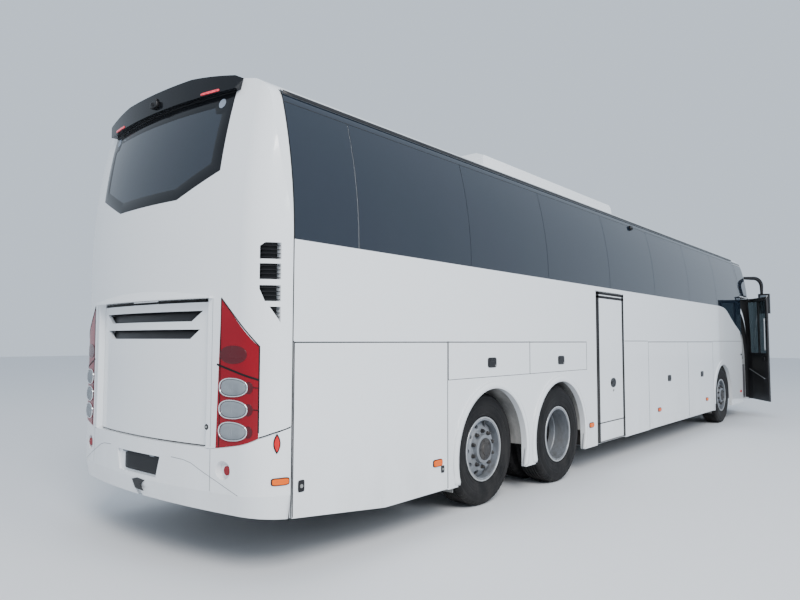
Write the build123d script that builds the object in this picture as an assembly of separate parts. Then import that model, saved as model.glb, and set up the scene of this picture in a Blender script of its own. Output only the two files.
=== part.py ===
from build123d import *
import math
import os

os.makedirs("parts", exist_ok=True)

# A three-axle touring coach, in millimetres. +X is forward, +Y is the left side and +Z is up.
# The origin lies on the road, on the centreline, at mid-length.

# Overall body
LENGTH = 13900
WIDTH = 2550
ROOF = 3460
SKIRT = 285
HALF = WIDTH / 2
REAR = -LENGTH / 2
NOSE = LENGTH / 2

# Heights along the side
FLAP_LINE = 1550
SILL = 2228
GLASS_TOP = 3195
GUTTER_TOP = 3290

# Cross-section of the shell: upright to the shoulder, then leaning in to the roof edge
SHOULDER = 2200
TUMBLE_TOP = 3200
TUMBLE_IN = 135
ROOF_EDGE_R = 230

# Plan of the shell: bowed ends with rounded corners
REAR_BOW_R = 4500
NOSE_BOW_R = 3600
CORNER_R = 300
CORNER_LAP = 2

# Both ends stand upright up to a base height and then lean in: the lean grows with the square of the height
SHELL_TOP = 3560
NOSE_LEAN = {"base": 1050, "rise": 1900, "setback": 230}
REAR_LEAN = {"base": 2200, "rise": 1090, "setback": 133}

# Thicknesses and clearances
SKIN = 6
GLASS_GAP = 0.3
UNDER = SKIN + GLASS_GAP
WALL = 50
FLAP = 30
SHUT = 6
FIT = 0.3

# Wheels and axles
TYRE_D = 1050
TYRE_W = 290
RIM_R = 302
BEAD_R = 286
HAND_R = 230
TAG_X = -4080
DRIVE_X = -2680
FRONT_X = 4210
WHEEL_Z = TYRE_D / 2
OUTER_FACE = 1250
TAG_FACE = 1175
TWIN_STEP = 330
KINGPIN_Y = 880
ARCH_R = 600
ARCH_Z = 505
LIP_W = 75
LIP_OUT = 12

# Lines across the length of the side
REAR_SEAM = -6570
SIDE_FRONT = 5770
DIVIDERS = [-6570, -5943, -4456, -2944, -1234, 459, 2171, 3890, 5650]
DIVIDER_W = 8

# Front doorway and its leaf, hinged on a pivot post at its front edge
DOOR_BOTTOM = 300
DOOR_TOP = 2490
DOOR_PIVOT_X = 6655
DOOR_EDGE_X = 6705
DOOR_AJAR = 34
POST_R = 8

# Middle door
MID_X0 = -1704
MID_X1 = -800
MID_PIVOT_X = -835
MID_TOP = 2170

# Service flaps of the right side; the left side repeats them
FLAPS = [
    {"name": "engine_flap", "x0": -6564, "x1": -4824, "z0": 295},
    {"name": "tag_arch_flap", "x0": -4824, "x1": -3383, "z0": 1210},
    {"name": "drive_arch_flap", "x0": -3383, "x1": -1984, "z0": 1210},
    {"name": "luggage_flap_rear", "x0": 124, "x1": 2015, "z0": 291},
    {"name": "luggage_flap_front", "x0": 2015, "x1": 3530, "z0": 291},
]
HINGE_R = 5
HINGE_GROOVE = HINGE_R + FIT

# Floor, bays and frame
DECK_Z = 1560
DECK_T = 50
BAY_FLOOR = 340
BAY_FLOOR_T = 40
BULKHEADS = [-1900, -760, 2000, 3490]
BULKHEAD_T = 30
RAIL_Y = 430
RAIL_Z = 700
RAIL_H = 180
RAIL_W = 80

# Rear end
BUMPER_TOP = 840
BUMPER_SIDE_TOP = 1000
BUMPER_CORNER_X = -6763
PANEL_GAP = 6
CHIN_TOP = 560
CHIN_IN = 36
CHIN_LEAD = 1
HATCH_Z0 = 840
HATCH_Z1 = 1835
HATCH_Y = 740
HATCH_IN = 40
HATCH_T = 25
HATCH_SHUT = 22
HATCH_BEVEL = 35
BROW_OUT = 30
BROW_H = 70
FOG_Y = 925
FOG_Z = 705
FOG_R = 66
FOG_FLOOR = REAR + 126
FOG_LENS_R = 30
GRILLE_DEPTH = 250
SLAT_PITCH = 26
SLAT_T = 4

# Front end
FRONT_SEAM_Z = 640
FRONT_FLAP_Y = 700
AIR_INTAKE = [(-560, 425), (560, 425), (620, 585), (-620, 585)]
RIB_W = 8
FRONT_FOG_Y = 850
FRONT_FOG_Z = 505
FRONT_FOG_FLOOR = NOSE - 132
FRONT_LENS_R = 44
LENS_L = 17

# Front platform and stairs
PLATFORM_Z = 1050
PLATFORM_X0 = 4680
PLATFORM_X1 = 6480
STAIR_X0 = 5790
STAIR_GAP = 60
STEP_Z0 = 380
STEP_RISE = 220
STEP_GO = 240
PLATE_T = 40

# Luggage racks under the roof, from (across, height) points
RACK = [(1228, 3155), (1228, 3185), (800, 3092), (790, 3132), (770, 3132), (762, 3075), (790, 3060)]
RACK_X0 = -6000
RACK_X1 = 4400
HANGER_Y = 780
HANGER_W = 12

# Front door rails and the bar across its window
RAIL_OFF = 72
RAIL_ROOT = 5
DOOR_BAR_X = 6180
DOOR_BAR_W = 40
GRAB_Z = (1385, 2015)
GRAB_R = 11
SLOPE_RAIL = ((5880, 777), (6560, 943))
SLOPE_R = 8

# Seats
SEAT_PITCH = 790
SEAT_ROWS = 12
SEAT_FIRST_X = -5650
SEAT_W = 450
AISLE = 380


def block(x0, x1, y0, y1, z0, z1):
    """A box between two limits on each axis."""
    return Pos((x0 + x1) / 2, (y0 + y1) / 2, (z0 + z1) / 2) * Box(abs(x1 - x0), abs(y1 - y0), abs(z1 - z0))


def across(shape):
    """The same shape on the other side of the centreline."""
    return mirror(shape, about=Plane.XZ)


def save(shape, name):
    """Write one node as a compound of its solids."""
    shape = Compound(children=list(shape.solids()))
    export_step(shape, "parts/" + name + ".step")


def section(inset):
    """The cross-section of the shell, moved in by the inset, from below the skirt to the crown."""
    rise = TUMBLE_TOP - SHOULDER
    r1 = (rise ** 2 + TUMBLE_IN ** 2) / (2 * TUMBLE_IN)
    a1 = math.asin(rise / r1)
    c1 = (HALF - r1, SHOULDER)
    c2 = (c1[0] + (r1 - ROOF_EDGE_R) * math.cos(a1), c1[1] + (r1 - ROOF_EDGE_R) * math.sin(a1))
    a2 = math.pi / 2 - 2 * math.atan((ROOF - c2[1] - ROOF_EDGE_R) / c2[0])
    r3 = ROOF_EDGE_R + c2[0] / math.cos(a2)
    c3 = (0, c2[1] - (r3 - ROOF_EDGE_R) * math.sin(a2))

    def at(centre, radius, angle):
        return (centre[0] + (radius - inset) * math.cos(angle), centre[1] + (radius - inset) * math.sin(angle))

    def left(point):
        return (-point[0], point[1])

    side = [at(c1, r1, 0), at(c1, r1, a1 / 2), at(c1, r1, a1)]
    edge = [side[2], at(c2, ROOF_EDGE_R, (a1 + a2) / 2), at(c2, ROOF_EDGE_R, a2)]
    with BuildSketch(Plane.YZ) as sketch:
        with BuildLine():
            Polyline((-(HALF - inset), SHOULDER), (-(HALF - inset), SKIRT), (HALF - inset, SKIRT), side[0])
            ThreePointArc(*side)
            ThreePointArc(*edge)
            ThreePointArc(edge[2], at(c3, r3, math.pi / 2), left(edge[2]))
            ThreePointArc(*[left(p) for p in reversed(edge)])
            ThreePointArc(*[left(p) for p in reversed(side)])
        make_face()
    return sketch.sketch


def plan(z, rear, nose, inset):
    """The outline of the shell seen from above at one height: two bowed ends and four round corners.

    Between the corners it stands wider than the cross-section, which sets the width there.
    """
    cy = HALF + CORNER_LAP - CORNER_R
    rear_c = rear + REAR_BOW_R
    nose_c = nose - NOSE_BOW_R
    rear_k = rear_c - math.sqrt((REAR_BOW_R - CORNER_R) ** 2 - cy ** 2)
    nose_k = nose_c + math.sqrt((NOSE_BOW_R - CORNER_R) ** 2 - cy ** 2)
    ar = math.atan2(cy, rear_k - rear_c)
    an = math.atan2(cy, nose_k - nose_c)
    side = HALF + CORNER_LAP - inset
    rc = CORNER_R - inset

    def ring(cx, y, radius, angle):
        return (cx + radius * math.cos(angle), y + radius * math.sin(angle))

    nose_l = ring(nose_c, 0, NOSE_BOW_R - inset, an)
    nose_r = ring(nose_c, 0, NOSE_BOW_R - inset, -an)
    rear_l = ring(rear_c, 0, REAR_BOW_R - inset, ar)
    rear_r = ring(rear_c, 0, REAR_BOW_R - inset, -ar)
    with BuildSketch(Plane.XY.offset(z)) as sketch:
        with BuildLine():
            ThreePointArc(nose_r, (nose - inset, 0), nose_l)
            ThreePointArc(nose_l, ring(nose_k, cy, rc, (an + math.pi / 2) / 2), (nose_k, side))
            Polyline((nose_k, side), (nose_k - 150, side + 40), (rear_k + 150, side + 40), (rear_k, side))
            ThreePointArc((rear_k, side), ring(rear_k, cy, rc, (ar + math.pi / 2) / 2), rear_l)
            ThreePointArc(rear_l, (rear + inset, 0), rear_r)
            ThreePointArc(rear_r, ring(rear_k, -cy, rc, -(ar + math.pi / 2) / 2), (rear_k, -side))
            Polyline((rear_k, -side), (rear_k + 150, -side - 40), (nose_k - 150, -side - 40), (nose_k, -side))
            ThreePointArc((nose_k, -side), ring(nose_k, -cy, rc, -(an + math.pi / 2) / 2), nose_r)
        make_face()
    return sketch.sketch.face()


def crown(inset):
    """The lengthwise outline of the roof: level, then falling away towards the windscreen."""
    top = ROOF + 1 - inset
    with BuildSketch(Plane.XZ.offset(-HALF - 100)) as sketch:
        with BuildLine():
            Polyline((3800, top), (REAR - 200, top), (REAR - 200, 0), (NOSE + 200, 0), (NOSE + 200, 2860 - inset))
            Spline((NOSE + 200, 2860 - inset), (NOSE - 350, 3200 - inset), (5900, 3370 - inset), (3800, top),
                   tangents=[(-1, 1.1), (-1, 0)])
        make_face()
    return extrude(sketch.sketch, WIDTH + 200, dir=(0, -1, 0))


ENDS = {"rear": (REAR - 100, -6300), "side": (-6300, 5600), "nose": (5600, NOSE + 100)}
INSETS = (0, SKIN, SKIN + GLASS_GAP, FLAP, HATCH_IN, WALL, HATCH_IN + HATCH_T)


def bowed(inset, zone):
    """The bowed outline of one end: upright to its base height, then leaning in."""
    lean = NOSE_LEAN if zone == "nose" else REAR_LEAN
    heights = [lean["base"] + (SHELL_TOP - lean["base"]) * i / 3 for i in range(4)]
    levels = []
    for z in heights:
        back = lean["setback"] * ((z - lean["base"]) / lean["rise"]) ** 2
        levels.append(plan(z, REAR + back, NOSE - back, inset))
    upright = extrude(plan(SKIRT - 20, REAR, NOSE, inset), lean["base"] - SKIRT + 20, dir=(0, 0, 1))
    return upright + loft(levels)


def outer(inset, zone):
    """One stretch of the shell as a solid, moved in by the inset. Only the two ends take the bowed outline."""
    low, high = ENDS[zone]
    body = Pos(low, 0, 0) * extrude(section(inset), high - low, dir=(1, 0, 0))
    if zone != "side":
        body = body & bowed(inset, zone)
    if zone != "rear":
        body = body & crown(inset)
    return body


SOLID = {(zone, inset): outer(inset, zone) for zone in ENDS for inset in INSETS}


def layer(outside, inside, x0, x1, y0, y1, z0, z1):
    """The part of the shell between two insets that lies in a box."""
    whole = None
    for zone, (low, high) in ENDS.items():
        a, b = max(x0, low), min(x1, high)
        if a < b:
            piece = (SOLID[zone, outside] & block(a, b, y0, y1, z0, z1)) - SOLID[zone, inside]
            whole = piece if whole is None else whole + piece
    return whole


def side_profile(points, y0, y1):
    """A prism across the bus from a closed outline of (x, z) points."""
    with BuildSketch(Plane.XZ) as sketch:
        with BuildLine():
            Polyline(*points, close=True)
        make_face()
    return Pos(0, y1, 0) * extrude(sketch.sketch, y1 - y0, dir=(0, -1, 0))


def glass_zone(margin_low, margin_top, x0, x1):
    """The glazed band of one side: a straight sill that sweeps down in a curve towards the front door."""
    with BuildSketch(Plane.XZ) as sketch:
        with BuildLine():
            low = SILL + margin_low
            Polyline((x0, low), (x0, GLASS_TOP - margin_top), (x1, GLASS_TOP - margin_top),
                     (x1, FLAP_LINE + 4 + margin_low), (SIDE_FRONT - 8 - margin_low, FLAP_LINE + 4 + margin_low))
            Spline((SIDE_FRONT - 8 - margin_low, FLAP_LINE + 4 + margin_low), (5500, 1810 + margin_low),
                   (4820, 2070 + margin_low), (3900, low), tangents=[(0, 1), (-1, 0)])
            Line((3900, low), (x0, low))
        make_face()
    return extrude(sketch.sketch, HALF + 50, dir=(0, -1, 0))


def pane_holes():
    """The window openings of the right wall, one between each pair of dividers."""
    holes = []
    ends = DIVIDERS[1:] + [DOOR_EDGE_X - 60]
    for x0, x1 in zip(DIVIDERS[1:], ends[1:]):
        frame = block(x0 + 35, x1 - 35, -HALF - 60, 0, FLAP_LINE, GLASS_TOP)
        holes.append(glass_zone(60, 45, DIVIDERS[0], DOOR_EDGE_X - 60) & frame)
    return holes


def arch_hole(x, radius):
    """The round-topped wheel opening of one axle, open at the bottom."""
    drum = Pos(x, -HALF, ARCH_Z) * Rot(90, 0, 0) * Cylinder(radius, 400)
    return drum + block(x - radius, x + radius, -HALF - 200, -HALF + 200, 0, ARCH_Z)


# The right wall, with its windows, doorways, wheel arches and flap openings cut through
upper = layer(UNDER, WALL, REAR_SEAM, SIDE_FRONT, -HALF - 20, -700, FLAP_LINE, GUTTER_TOP)
zone = glass_zone(0, 0, REAR_SEAM, SIDE_FRONT)
lower = layer(0, WALL, REAR_SEAM, SIDE_FRONT, -HALF - 20, -700, SKIRT, FLAP_LINE)
weld = layer(0, UNDER, REAR_SEAM, SIDE_FRONT, -HALF - 20, -700, FLAP_LINE, SILL + 200)
weld = weld - glass_zone(0, 0, REAR_SEAM, SIDE_FRONT)
wall = upper + weld + lower
for hole in pane_holes():
    wall = wall - hole
for x in (TAG_X, DRIVE_X, FRONT_X):
    lip = Pos(x, -HALF + 10, ARCH_Z) * Rot(90, 0, 0) * Cylinder(ARCH_R + LIP_W, 2 * (10 + LIP_OUT))
    lip = lip & block(x - 700, x + 700, -HALF - LIP_OUT, -HALF + 20, ARCH_Z - 100, ARCH_Z + ARCH_R + LIP_W)
    wall = wall + lip
for x in (TAG_X, DRIVE_X, FRONT_X):
    wall = wall - arch_hole(x, ARCH_R)


def opening_of(flap):
    """The hole that a service flap closes. A flap that reaches the skirt or the rear seam leaves no strip there."""
    x0 = REAR_SEAM - 1 if flap["x0"] - REAR_SEAM < 2 * SHUT else flap["x0"]
    z0 = SKIRT - 40 if flap["z0"] - SKIRT < 2 * SHUT else flap["z0"]
    return block(x0, flap["x1"], -HALF - 50, -HALF + 200, z0, FLAP_LINE)


def groove(x0, x1):
    """The half-round seat of a flap's hinge in the edge above it."""
    return Pos((x0 + x1) / 2, -HALF + HINGE_R, FLAP_LINE) * Rot(0, 90, 0) * Cylinder(HINGE_GROOVE, x1 - x0)


for flap in FLAPS:
    wall = wall - opening_of(flap)
    wall = wall - groove(flap["x0"], flap["x1"])
mid_hole = block(MID_X0 - SHUT, MID_X1, -HALF - 50, -HALF + 200, SKIRT - 20, MID_TOP + SHUT)
mid_post_seat = Pos(MID_PIVOT_X, -HALF + POST_R + 2, MID_TOP + 20) * Cylinder(POST_R + FIT, 60)
wall_left = wall
wall_right = wall - mid_hole - mid_post_seat
save(wall_right, "side_wall_right")
save(across(wall_left), "side_wall_left")


# Service flaps, each hung on a long hinge under the panel line
def flap_body(flap):
    plate = layer(0, FLAP, flap["x0"] + SHUT / 2, flap["x1"] - SHUT / 2, -HALF - 20, -700, flap["z0"], FLAP_LINE - SHUT)
    if flap["name"] == "engine_flap":
        rise = side_profile([(flap["x0"] - 10, 0), (flap["x1"] + 10, 0), (flap["x1"] + 10, 290), (-5600, 290),
                             (flap["x0"] - 10, 400)], -HALF - 50, -700)
        plate = plate - rise
        plate = plate - arch_hole(TAG_X, ARCH_R + LIP_W + SHUT)
    if flap["name"] == "luggage_flap_front":
        plate = plate - arch_hole(FRONT_X, ARCH_R + LIP_W + SHUT)
    span = flap["x1"] - flap["x0"] - 2 * SHUT
    mid = (flap["x0"] + flap["x1"]) / 2
    rod = Pos(mid, -HALF + HINGE_R, FLAP_LINE) * Rot(0, 90, 0) * Cylinder(HINGE_R, span)
    web = block(mid - span / 2, mid + span / 2, -HALF + HINGE_R - 1.5, -HALF + HINGE_R + 1.5,
                FLAP_LINE - SHUT - 2, FLAP_LINE)
    return plate + rod + web


for flap in FLAPS:
    shape = flap_body(flap)
    save(shape, flap["name"] + "_right")
    save(across(shape), flap["name"] + "_left")

# Middle door on its pivot post
mid_leaf = layer(0, FLAP, MID_X0, MID_PIVOT_X + 2, -HALF - 20, -700, DOOR_BOTTOM, MID_TOP)
mid_post = Pos(MID_PIVOT_X, -HALF + POST_R + 2, 0) * extrude(
    Plane.XY.offset(DOOR_BOTTOM) * Circle(POST_R), MID_TOP + 40 - DOOR_BOTTOM)
save(mid_leaf + mid_post, "mid_door")

# Bonded side glass, one pane between each pair of dividers
panes = []
for x0, x1 in zip(DIVIDERS, DIVIDERS[1:] + [SIDE_FRONT]):
    panes.append(layer(0, SKIN, x0 + DIVIDER_W / 2, x1 - DIVIDER_W / 2, -HALF - 20, -700, FLAP_LINE, GLASS_TOP) & zone)
glass = Compound(children=[s for p in panes for s in p.solids()])
save(glass, "side_glass_right")
save(across(glass), "side_glass_left")

# Gutter rails between glass and roof
gutter = layer(0, UNDER, REAR_SEAM, SIDE_FRONT, -HALF - 20, -700, GLASS_TOP, GUTTER_TOP)
save(gutter + across(gutter), "gutter_rails")

# Roof skin from the gutters up
roof = layer(0, WALL, REAR_SEAM, 6300, -HALF, HALF, GUTTER_TOP, ROOF + 10)
save(roof, "roof_shell")


def rear_face(points):
    """A closed outline of (y, z) points, standing across the bus at its middle."""
    with BuildSketch(Plane.YZ) as sketch:
        with BuildLine():
            Polyline(*points, close=True)
        make_face()
    return sketch.sketch


def rear_prism(points, x0, x1):
    """A prism along the bus from a closed outline of (y, z) points."""
    return Pos(x0, 0, 0) * extrude(rear_face(points), x1 - x0, dir=(1, 0, 0))


def both_sides(points):
    """The same outline with its mirror image across the centreline."""
    return points, [(-y, z) for y, z in points]


def rear_band(points, y0, y1):
    """A band that follows the bow of the rear between two places across, from (outward, height) points."""
    a0 = math.degrees(math.asin(y0 / REAR_BOW_R))
    a1 = math.degrees(math.asin(y1 / REAR_BOW_R))
    with BuildSketch(Plane.XZ) as sketch:
        with BuildLine():
            Polyline(*[(REAR_BOW_R + out, z) for out, z in points], close=True)
        make_face()
    band = revolve(sketch.sketch, axis=Axis.Z, revolution_arc=a1 - a0)
    return Pos(REAR + REAR_BOW_R, 0, 0) * Rot(0, 0, 180 - a1) * band


def slatted(lining, hole, box, z0, z1):
    """A grille moulding inside a hole: a back plate and level slats, following the bow of the shell."""
    inside = lining & hole
    plate = inside - layer(0, HATCH_IN, *box)
    x0, x1, y0, y1 = box[:4]
    for i in range(int((z1 - z0) / SLAT_PITCH)):
        z = z0 + SLAT_PITCH * (i + 0.4)
        plate = plate + (inside & block(x0, x1, y0, y1, z, z + SLAT_T))
    return plate


def corner_band(points):
    """A band that follows the left rear corner from the bow to the side, from (outward, height) points."""
    cy = HALF + CORNER_LAP - CORNER_R
    knee = REAR + REAR_BOW_R - math.sqrt((REAR_BOW_R - CORNER_R) ** 2 - cy ** 2)
    turn = math.degrees(math.asin(cy / (REAR_BOW_R - CORNER_R)))
    with BuildSketch(Plane.XZ) as sketch:
        with BuildLine():
            Polyline(*[(CORNER_R + out, z) for out, z in points], close=True)
        make_face()
    return Pos(knee, cy, 0) * Rot(0, 0, 88) * revolve(sketch.sketch, axis=Axis.Z, revolution_arc=94 - turn)


# Rear moulding, with the window, lamps, corner grilles and engine hatch cut into it
REAR_BACK = REAR - 60
WINDOW_OUT = [(-405, 2548), (405, 2548), (821, 2710), (845, 3286), (-845, 3286), (-821, 2710)]
WINDOW_IN = [(-375, 2630), (375, 2630), (730, 2770), (755, 3200), (-755, 3200), (-730, 2770)]
LAMP = [(-887, 1833), (-1168, 1513), (-HALF - 40, 1513), (-HALF - 40, 800), (-857, 800)]
GRILLES = [
    [(-6744, 2194), (-6658, 2194), (-6658, 2084), (-6768, 2084), (-6768, 2170)],
    [(-6768, 2055), (-6658, 2055), (-6658, 1951), (-6768, 1951)],
    [(-6768, 1912), (-6658, 1912), (-6658, 1808), (-6744, 1808), (-6768, 1888)],
    [(-6721, 1772), (-6658, 1772), (-6658, 1668)],
]


def bumper_zone_of(drop):
    """Everything below the top line of the bumper, lowered by the drop."""
    return side_profile([(REAR_BACK, 440), (REAR_SEAM + 1, 393), (REAR_SEAM + 1, BUMPER_SIDE_TOP - drop),
                         (BUMPER_CORNER_X, 925 - drop), (-6875, BUMPER_TOP - drop), (REAR_BACK, BUMPER_TOP - drop)],
                        -HALF - 50, HALF + 50)


bumper_zone = bumper_zone_of(0)
REAR_BOX = (REAR_BACK, REAR_SEAM, -HALF - 20, HALF + 20, 380, ROOF + 20)
rear_skin = layer(0, UNDER, *REAR_BOX)
rear_lining = layer(UNDER, WALL, *REAR_BOX)
rear_shell = layer(0, WALL, *REAR_BOX)
seam_gap = block(REAR_SEAM - PANEL_GAP, REAR_SEAM + 1, -HALF - 20, HALF + 20, 300, GUTTER_TOP)
rear_inner = rear_lining - rear_prism(WINDOW_IN, REAR_BACK, REAR_SEAM + 10)
rear_outer = rear_skin - rear_prism(WINDOW_OUT, REAR_BACK, REAR_SEAM + 10) - seam_gap
rear = rear_inner + rear_outer - bumper_zone - block(REAR_BACK, REAR_SEAM + 10, -HALF, HALF, 300, 500)
rear = rear - block(REAR_BACK, REAR_SEAM - 30, -HATCH_Y, HATCH_Y, HATCH_Z0 - 20, HATCH_Z1)
bevel_x = REAR + REAR_BOW_R - math.sqrt(REAR_BOW_R ** 2 - HATCH_Y ** 2)
with BuildSketch(Plane.XY.offset(HATCH_Z0)) as bevel_face:
    with BuildLine():
        Polyline((bevel_x - 30, HATCH_Y - 5), (bevel_x - 30, HATCH_Y + HATCH_BEVEL + 30),
                 (bevel_x + HATCH_IN, HATCH_Y), (bevel_x + HATCH_IN, HATCH_Y - 5), close=True)
    make_face()
bevel = extrude(bevel_face.sketch, HATCH_Z1 - HATCH_Z0, dir=(0, 0, 1))
rear = rear - bevel - across(bevel)
with BuildSketch(Plane.YZ.offset(REAR_BACK)) as brow_face:
    with BuildLine():
        Polyline((-820, HATCH_Z1 + 12), (-820, HATCH_Z1), (820, HATCH_Z1), (820, HATCH_Z1 + 12))
        ThreePointArc((820, HATCH_Z1 + 12), (0, HATCH_Z1 + BROW_H), (-820, HATCH_Z1 + 12))
    make_face()
brow = rear_band([(-SKIN / 2, HATCH_Z1), (BROW_OUT, HATCH_Z1), (BROW_OUT, HATCH_Z1 + 10), (BROW_OUT / 3, HATCH_Z1 + BROW_H - 20),
                  (-SKIN / 2, HATCH_Z1 + BROW_H + 10)], -810, 810)
rear = rear + (brow & extrude(brow_face.sketch, 400, dir=(1, 0, 0)))
lamps = []
for outline in both_sides(LAMP):
    prism = rear_prism(outline, REAR_BACK, BUMPER_CORNER_X)
    lamps.append((rear_shell & prism) - bumper_zone)
    rear = rear - prism
louvres = []
for outline in GRILLES:
    hole = side_profile(outline, -HALF - 20, -HALF + GRILLE_DEPTH)
    rear = rear - hole - across(hole)
    plate = slatted(rear_lining, hole, REAR_BOX, min(z for x, z in outline), max(z for x, z in outline))
    louvres += plate.solids() + across(plate).solids()
hatch_rod = Pos(REAR + HATCH_IN + HINGE_R, 0, HATCH_Z1) * Rot(90, 0, 0) * Cylinder(HINGE_R, 340)
rear = rear - Pos(REAR + HATCH_IN + HINGE_R, 0, HATCH_Z1) * Rot(90, 0, 0) * Cylinder(HINGE_GROOVE, 352)
save(rear, "rear_panel")
save(Compound(children=louvres), "corner_grilles")
save(layer(0, SKIN, *REAR_BOX) & rear_prism(WINDOW_OUT, REAR_BACK, REAR_SEAM), "rear_window")

# Engine hatch with two air slots, each with a sloping blade behind it
hatch = layer(HATCH_IN, HATCH_IN + HATCH_T, REAR_BACK, REAR_SEAM, -HATCH_Y + SHUT, HATCH_Y - SHUT,
              HATCH_Z0 + SHUT + 3, HATCH_Z1 - HATCH_SHUT)
back_face = -HATCH_IN - HATCH_T - FIT
blades = []
for top, low, wide_top, wide_low in ((1755, 1683, 675, 561), (1627, 1561, 647, 550)):
    hatch = hatch - rear_prism([(-wide_top, top), (wide_top, top), (wide_low, low), (-wide_low, low)],
                               REAR_BACK, REAR_SEAM)
    blades += rear_band([(back_face, low - 20), (back_face, low), (back_face - 28, top + 10), (back_face - 32, top + 10),
                         (back_face - 4, low - 2), (back_face - 4, low - 20)], -wide_top, wide_top).solids()
hatch = hatch + hatch_rod + block(REAR + HATCH_IN + HINGE_R - 1.5, REAR + HATCH_IN + HINGE_R + 1.5, -170, 170,
                                  HATCH_Z1 - HATCH_SHUT - 3, HATCH_Z1)
save(hatch, "engine_hatch")
save(Compound(children=blades), "hatch_louvres")

# Rear bumper: a chin that leans in, seams between its three mouldings, a plate recess, lamp pockets and a towing hole.
# The chin's cutting outline starts just outside the skin, so that its two bands meet without a ledge.
bumper = (rear_lining & bumper_zone) + ((rear_skin & bumper_zone_of(PANEL_GAP)) - seam_gap)
chin = [(60, CHIN_TOP), (CHIN_LEAD, CHIN_TOP), (-CHIN_IN, 380), (60, 380)]
bumper = bumper - block(REAR_BACK, REAR_SEAM - 30, -HATCH_Y, HATCH_Y, HATCH_Z0, HATCH_Z1)
bumper = bumper - rear_band(chin, -1045, 1045)
corner_chin = corner_band(chin)
bumper = bumper - corner_chin - across(corner_chin)
bumper = bumper - rear_prism([(-300, 735), (300, 735), (255, 585), (-255, 585)], REAR_BACK, REAR + 25)
bumper = bumper - rear_prism([(62, 540), (-62, 540), (-26, 500), (-58, 430), (6, 430), (50, 500)], REAR_BACK, REAR + 42)
for outline in both_sides([(-811, 850), (-815, 850), (-819, 560), (-872, 380), (-868, 380), (-815, 560)]):
    bumper = bumper - (rear_prism(outline, REAR_BACK, REAR_SEAM) & layer(0, SKIN, *REAR_BOX))
for side in (-1, 1):
    bumper = bumper - Pos(FOG_FLOOR - 73, side * FOG_Y, FOG_Z) * Rot(0, 90, 0) * Cone(FOG_R + 16, FOG_R - 10, 146)
    lens = Cylinder(FOG_LENS_R, LENS_L)
    lamps.append(Pos(FOG_FLOOR - FIT - LENS_L / 2, side * (FOG_Y + 24), FOG_Z) * Rot(0, 90, 0) * lens)
save(bumper, "rear_bumper")
save(Compound(children=[s for p in lamps for s in p.solids()]), "tail_lamps")

spoiler_plan = extrude(plan(GUTTER_TOP, REAR + 85, NOSE, 0), 150, dir=(0, 0, 1))
spoiler = spoiler_plan & block(REAR_BACK, -6700, -880, 880, 3290, 3440)
spoiler = (spoiler & (Pos(REAR - 100, 0, 0) * extrude(section(0), 600, dir=(1, 0, 0)))) - SOLID["rear", 0]
save(spoiler, "rear_spoiler")

# Nose: lower panel, header, screen pillars and the frames of the front doorway and the driver's window
NOSE_BOX = (SIDE_FRONT, NOSE + 60, -HALF - 20, HALF + 20, SKIRT, ROOF + 20)
roof_zone = block(REAR_SEAM, 6300, -HALF, HALF, GUTTER_TOP, ROOF + 20)
SCREEN = [(-1150, 1090), (1150, 1090), (950, 3010), (-950, 3010)]
SCREEN_IN = [(-1085, 1160), (1085, 1160), (890, 2950), (-890, 2950)]
screen_cut = rear_prism(SCREEN, 6350, NOSE + 60)
QUARTER_X = 6470
quarter_right = block(SIDE_FRONT, QUARTER_X, -HALF - 20, -700, DOOR_TOP + 20, GLASS_TOP)
quarter_left = block(SIDE_FRONT, QUARTER_X, 700, HALF + 20, 1700, GLASS_TOP)
quarter_right_in = block(SIDE_FRONT + 40, QUARTER_X - 50, -HALF - 20, -700, DOOR_TOP + 70, GLASS_TOP - 50)
quarter_left_in = block(SIDE_FRONT + 40, QUARTER_X - 50, 700, HALF + 20, 1760, GLASS_TOP - 50)
nose_lining = layer(UNDER, WALL, *NOSE_BOX)
nose_inner = nose_lining - rear_prism(SCREEN_IN, 6350, NOSE + 60) - quarter_right_in - quarter_left_in
nose_outer = layer(0, UNDER, *NOSE_BOX)
nose_outer = nose_outer - screen_cut - quarter_right - quarter_left
nose_outer = nose_outer - layer(0, SKIN, SIDE_FRONT, NOSE + 60, -HALF - 20, HALF + 20, FRONT_SEAM_Z, FRONT_SEAM_Z + PANEL_GAP)
flap_front = layer(0, SKIN, 6500, NOSE + 60, -HALF, HALF, FRONT_SEAM_Z, 1085)
for y in (-FRONT_FLAP_Y - PANEL_GAP, FRONT_FLAP_Y):
    nose_outer = nose_outer - (flap_front & block(6500, NOSE + 60, y, y + PANEL_GAP, FRONT_SEAM_Z, 1085))
nose = nose_inner + nose_outer - roof_zone
nose = nose - block(SIDE_FRONT - 10, DOOR_EDGE_X, -HALF - 50, -HALF + 250, SKIRT - 20, DOOR_TOP)
corner_y = HALF + CORNER_LAP - CORNER_R
corner_x = NOSE - NOSE_BOW_R + math.sqrt((NOSE_BOW_R - CORNER_R) ** 2 - corner_y ** 2)
PIVOT_Y = POST_R + 2 - corner_y - math.sqrt(CORNER_R ** 2 - (DOOR_PIVOT_X - corner_x) ** 2)
nose = nose - Pos(DOOR_PIVOT_X, PIVOT_Y, DOOR_TOP + 15) * Cylinder(POST_R + FIT, 50)
HEADLAMP = [(-1240, 760), (-720, 700), (-760, 860), (-1240, 960)]
nose_shell = layer(0, WALL, *NOSE_BOX)
lights = []
for outline in both_sides(HEADLAMP):
    prism = rear_prism(outline, DOOR_EDGE_X + 15, NOSE + 60)
    lights.append(nose_shell & prism)
    nose = nose - prism
intake = rear_prism(AIR_INTAKE, DOOR_EDGE_X + 15, NOSE + 60)
grille = slatted(nose_lining, intake, NOSE_BOX, AIR_INTAKE[0][1], AIR_INTAKE[2][1])
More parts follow.
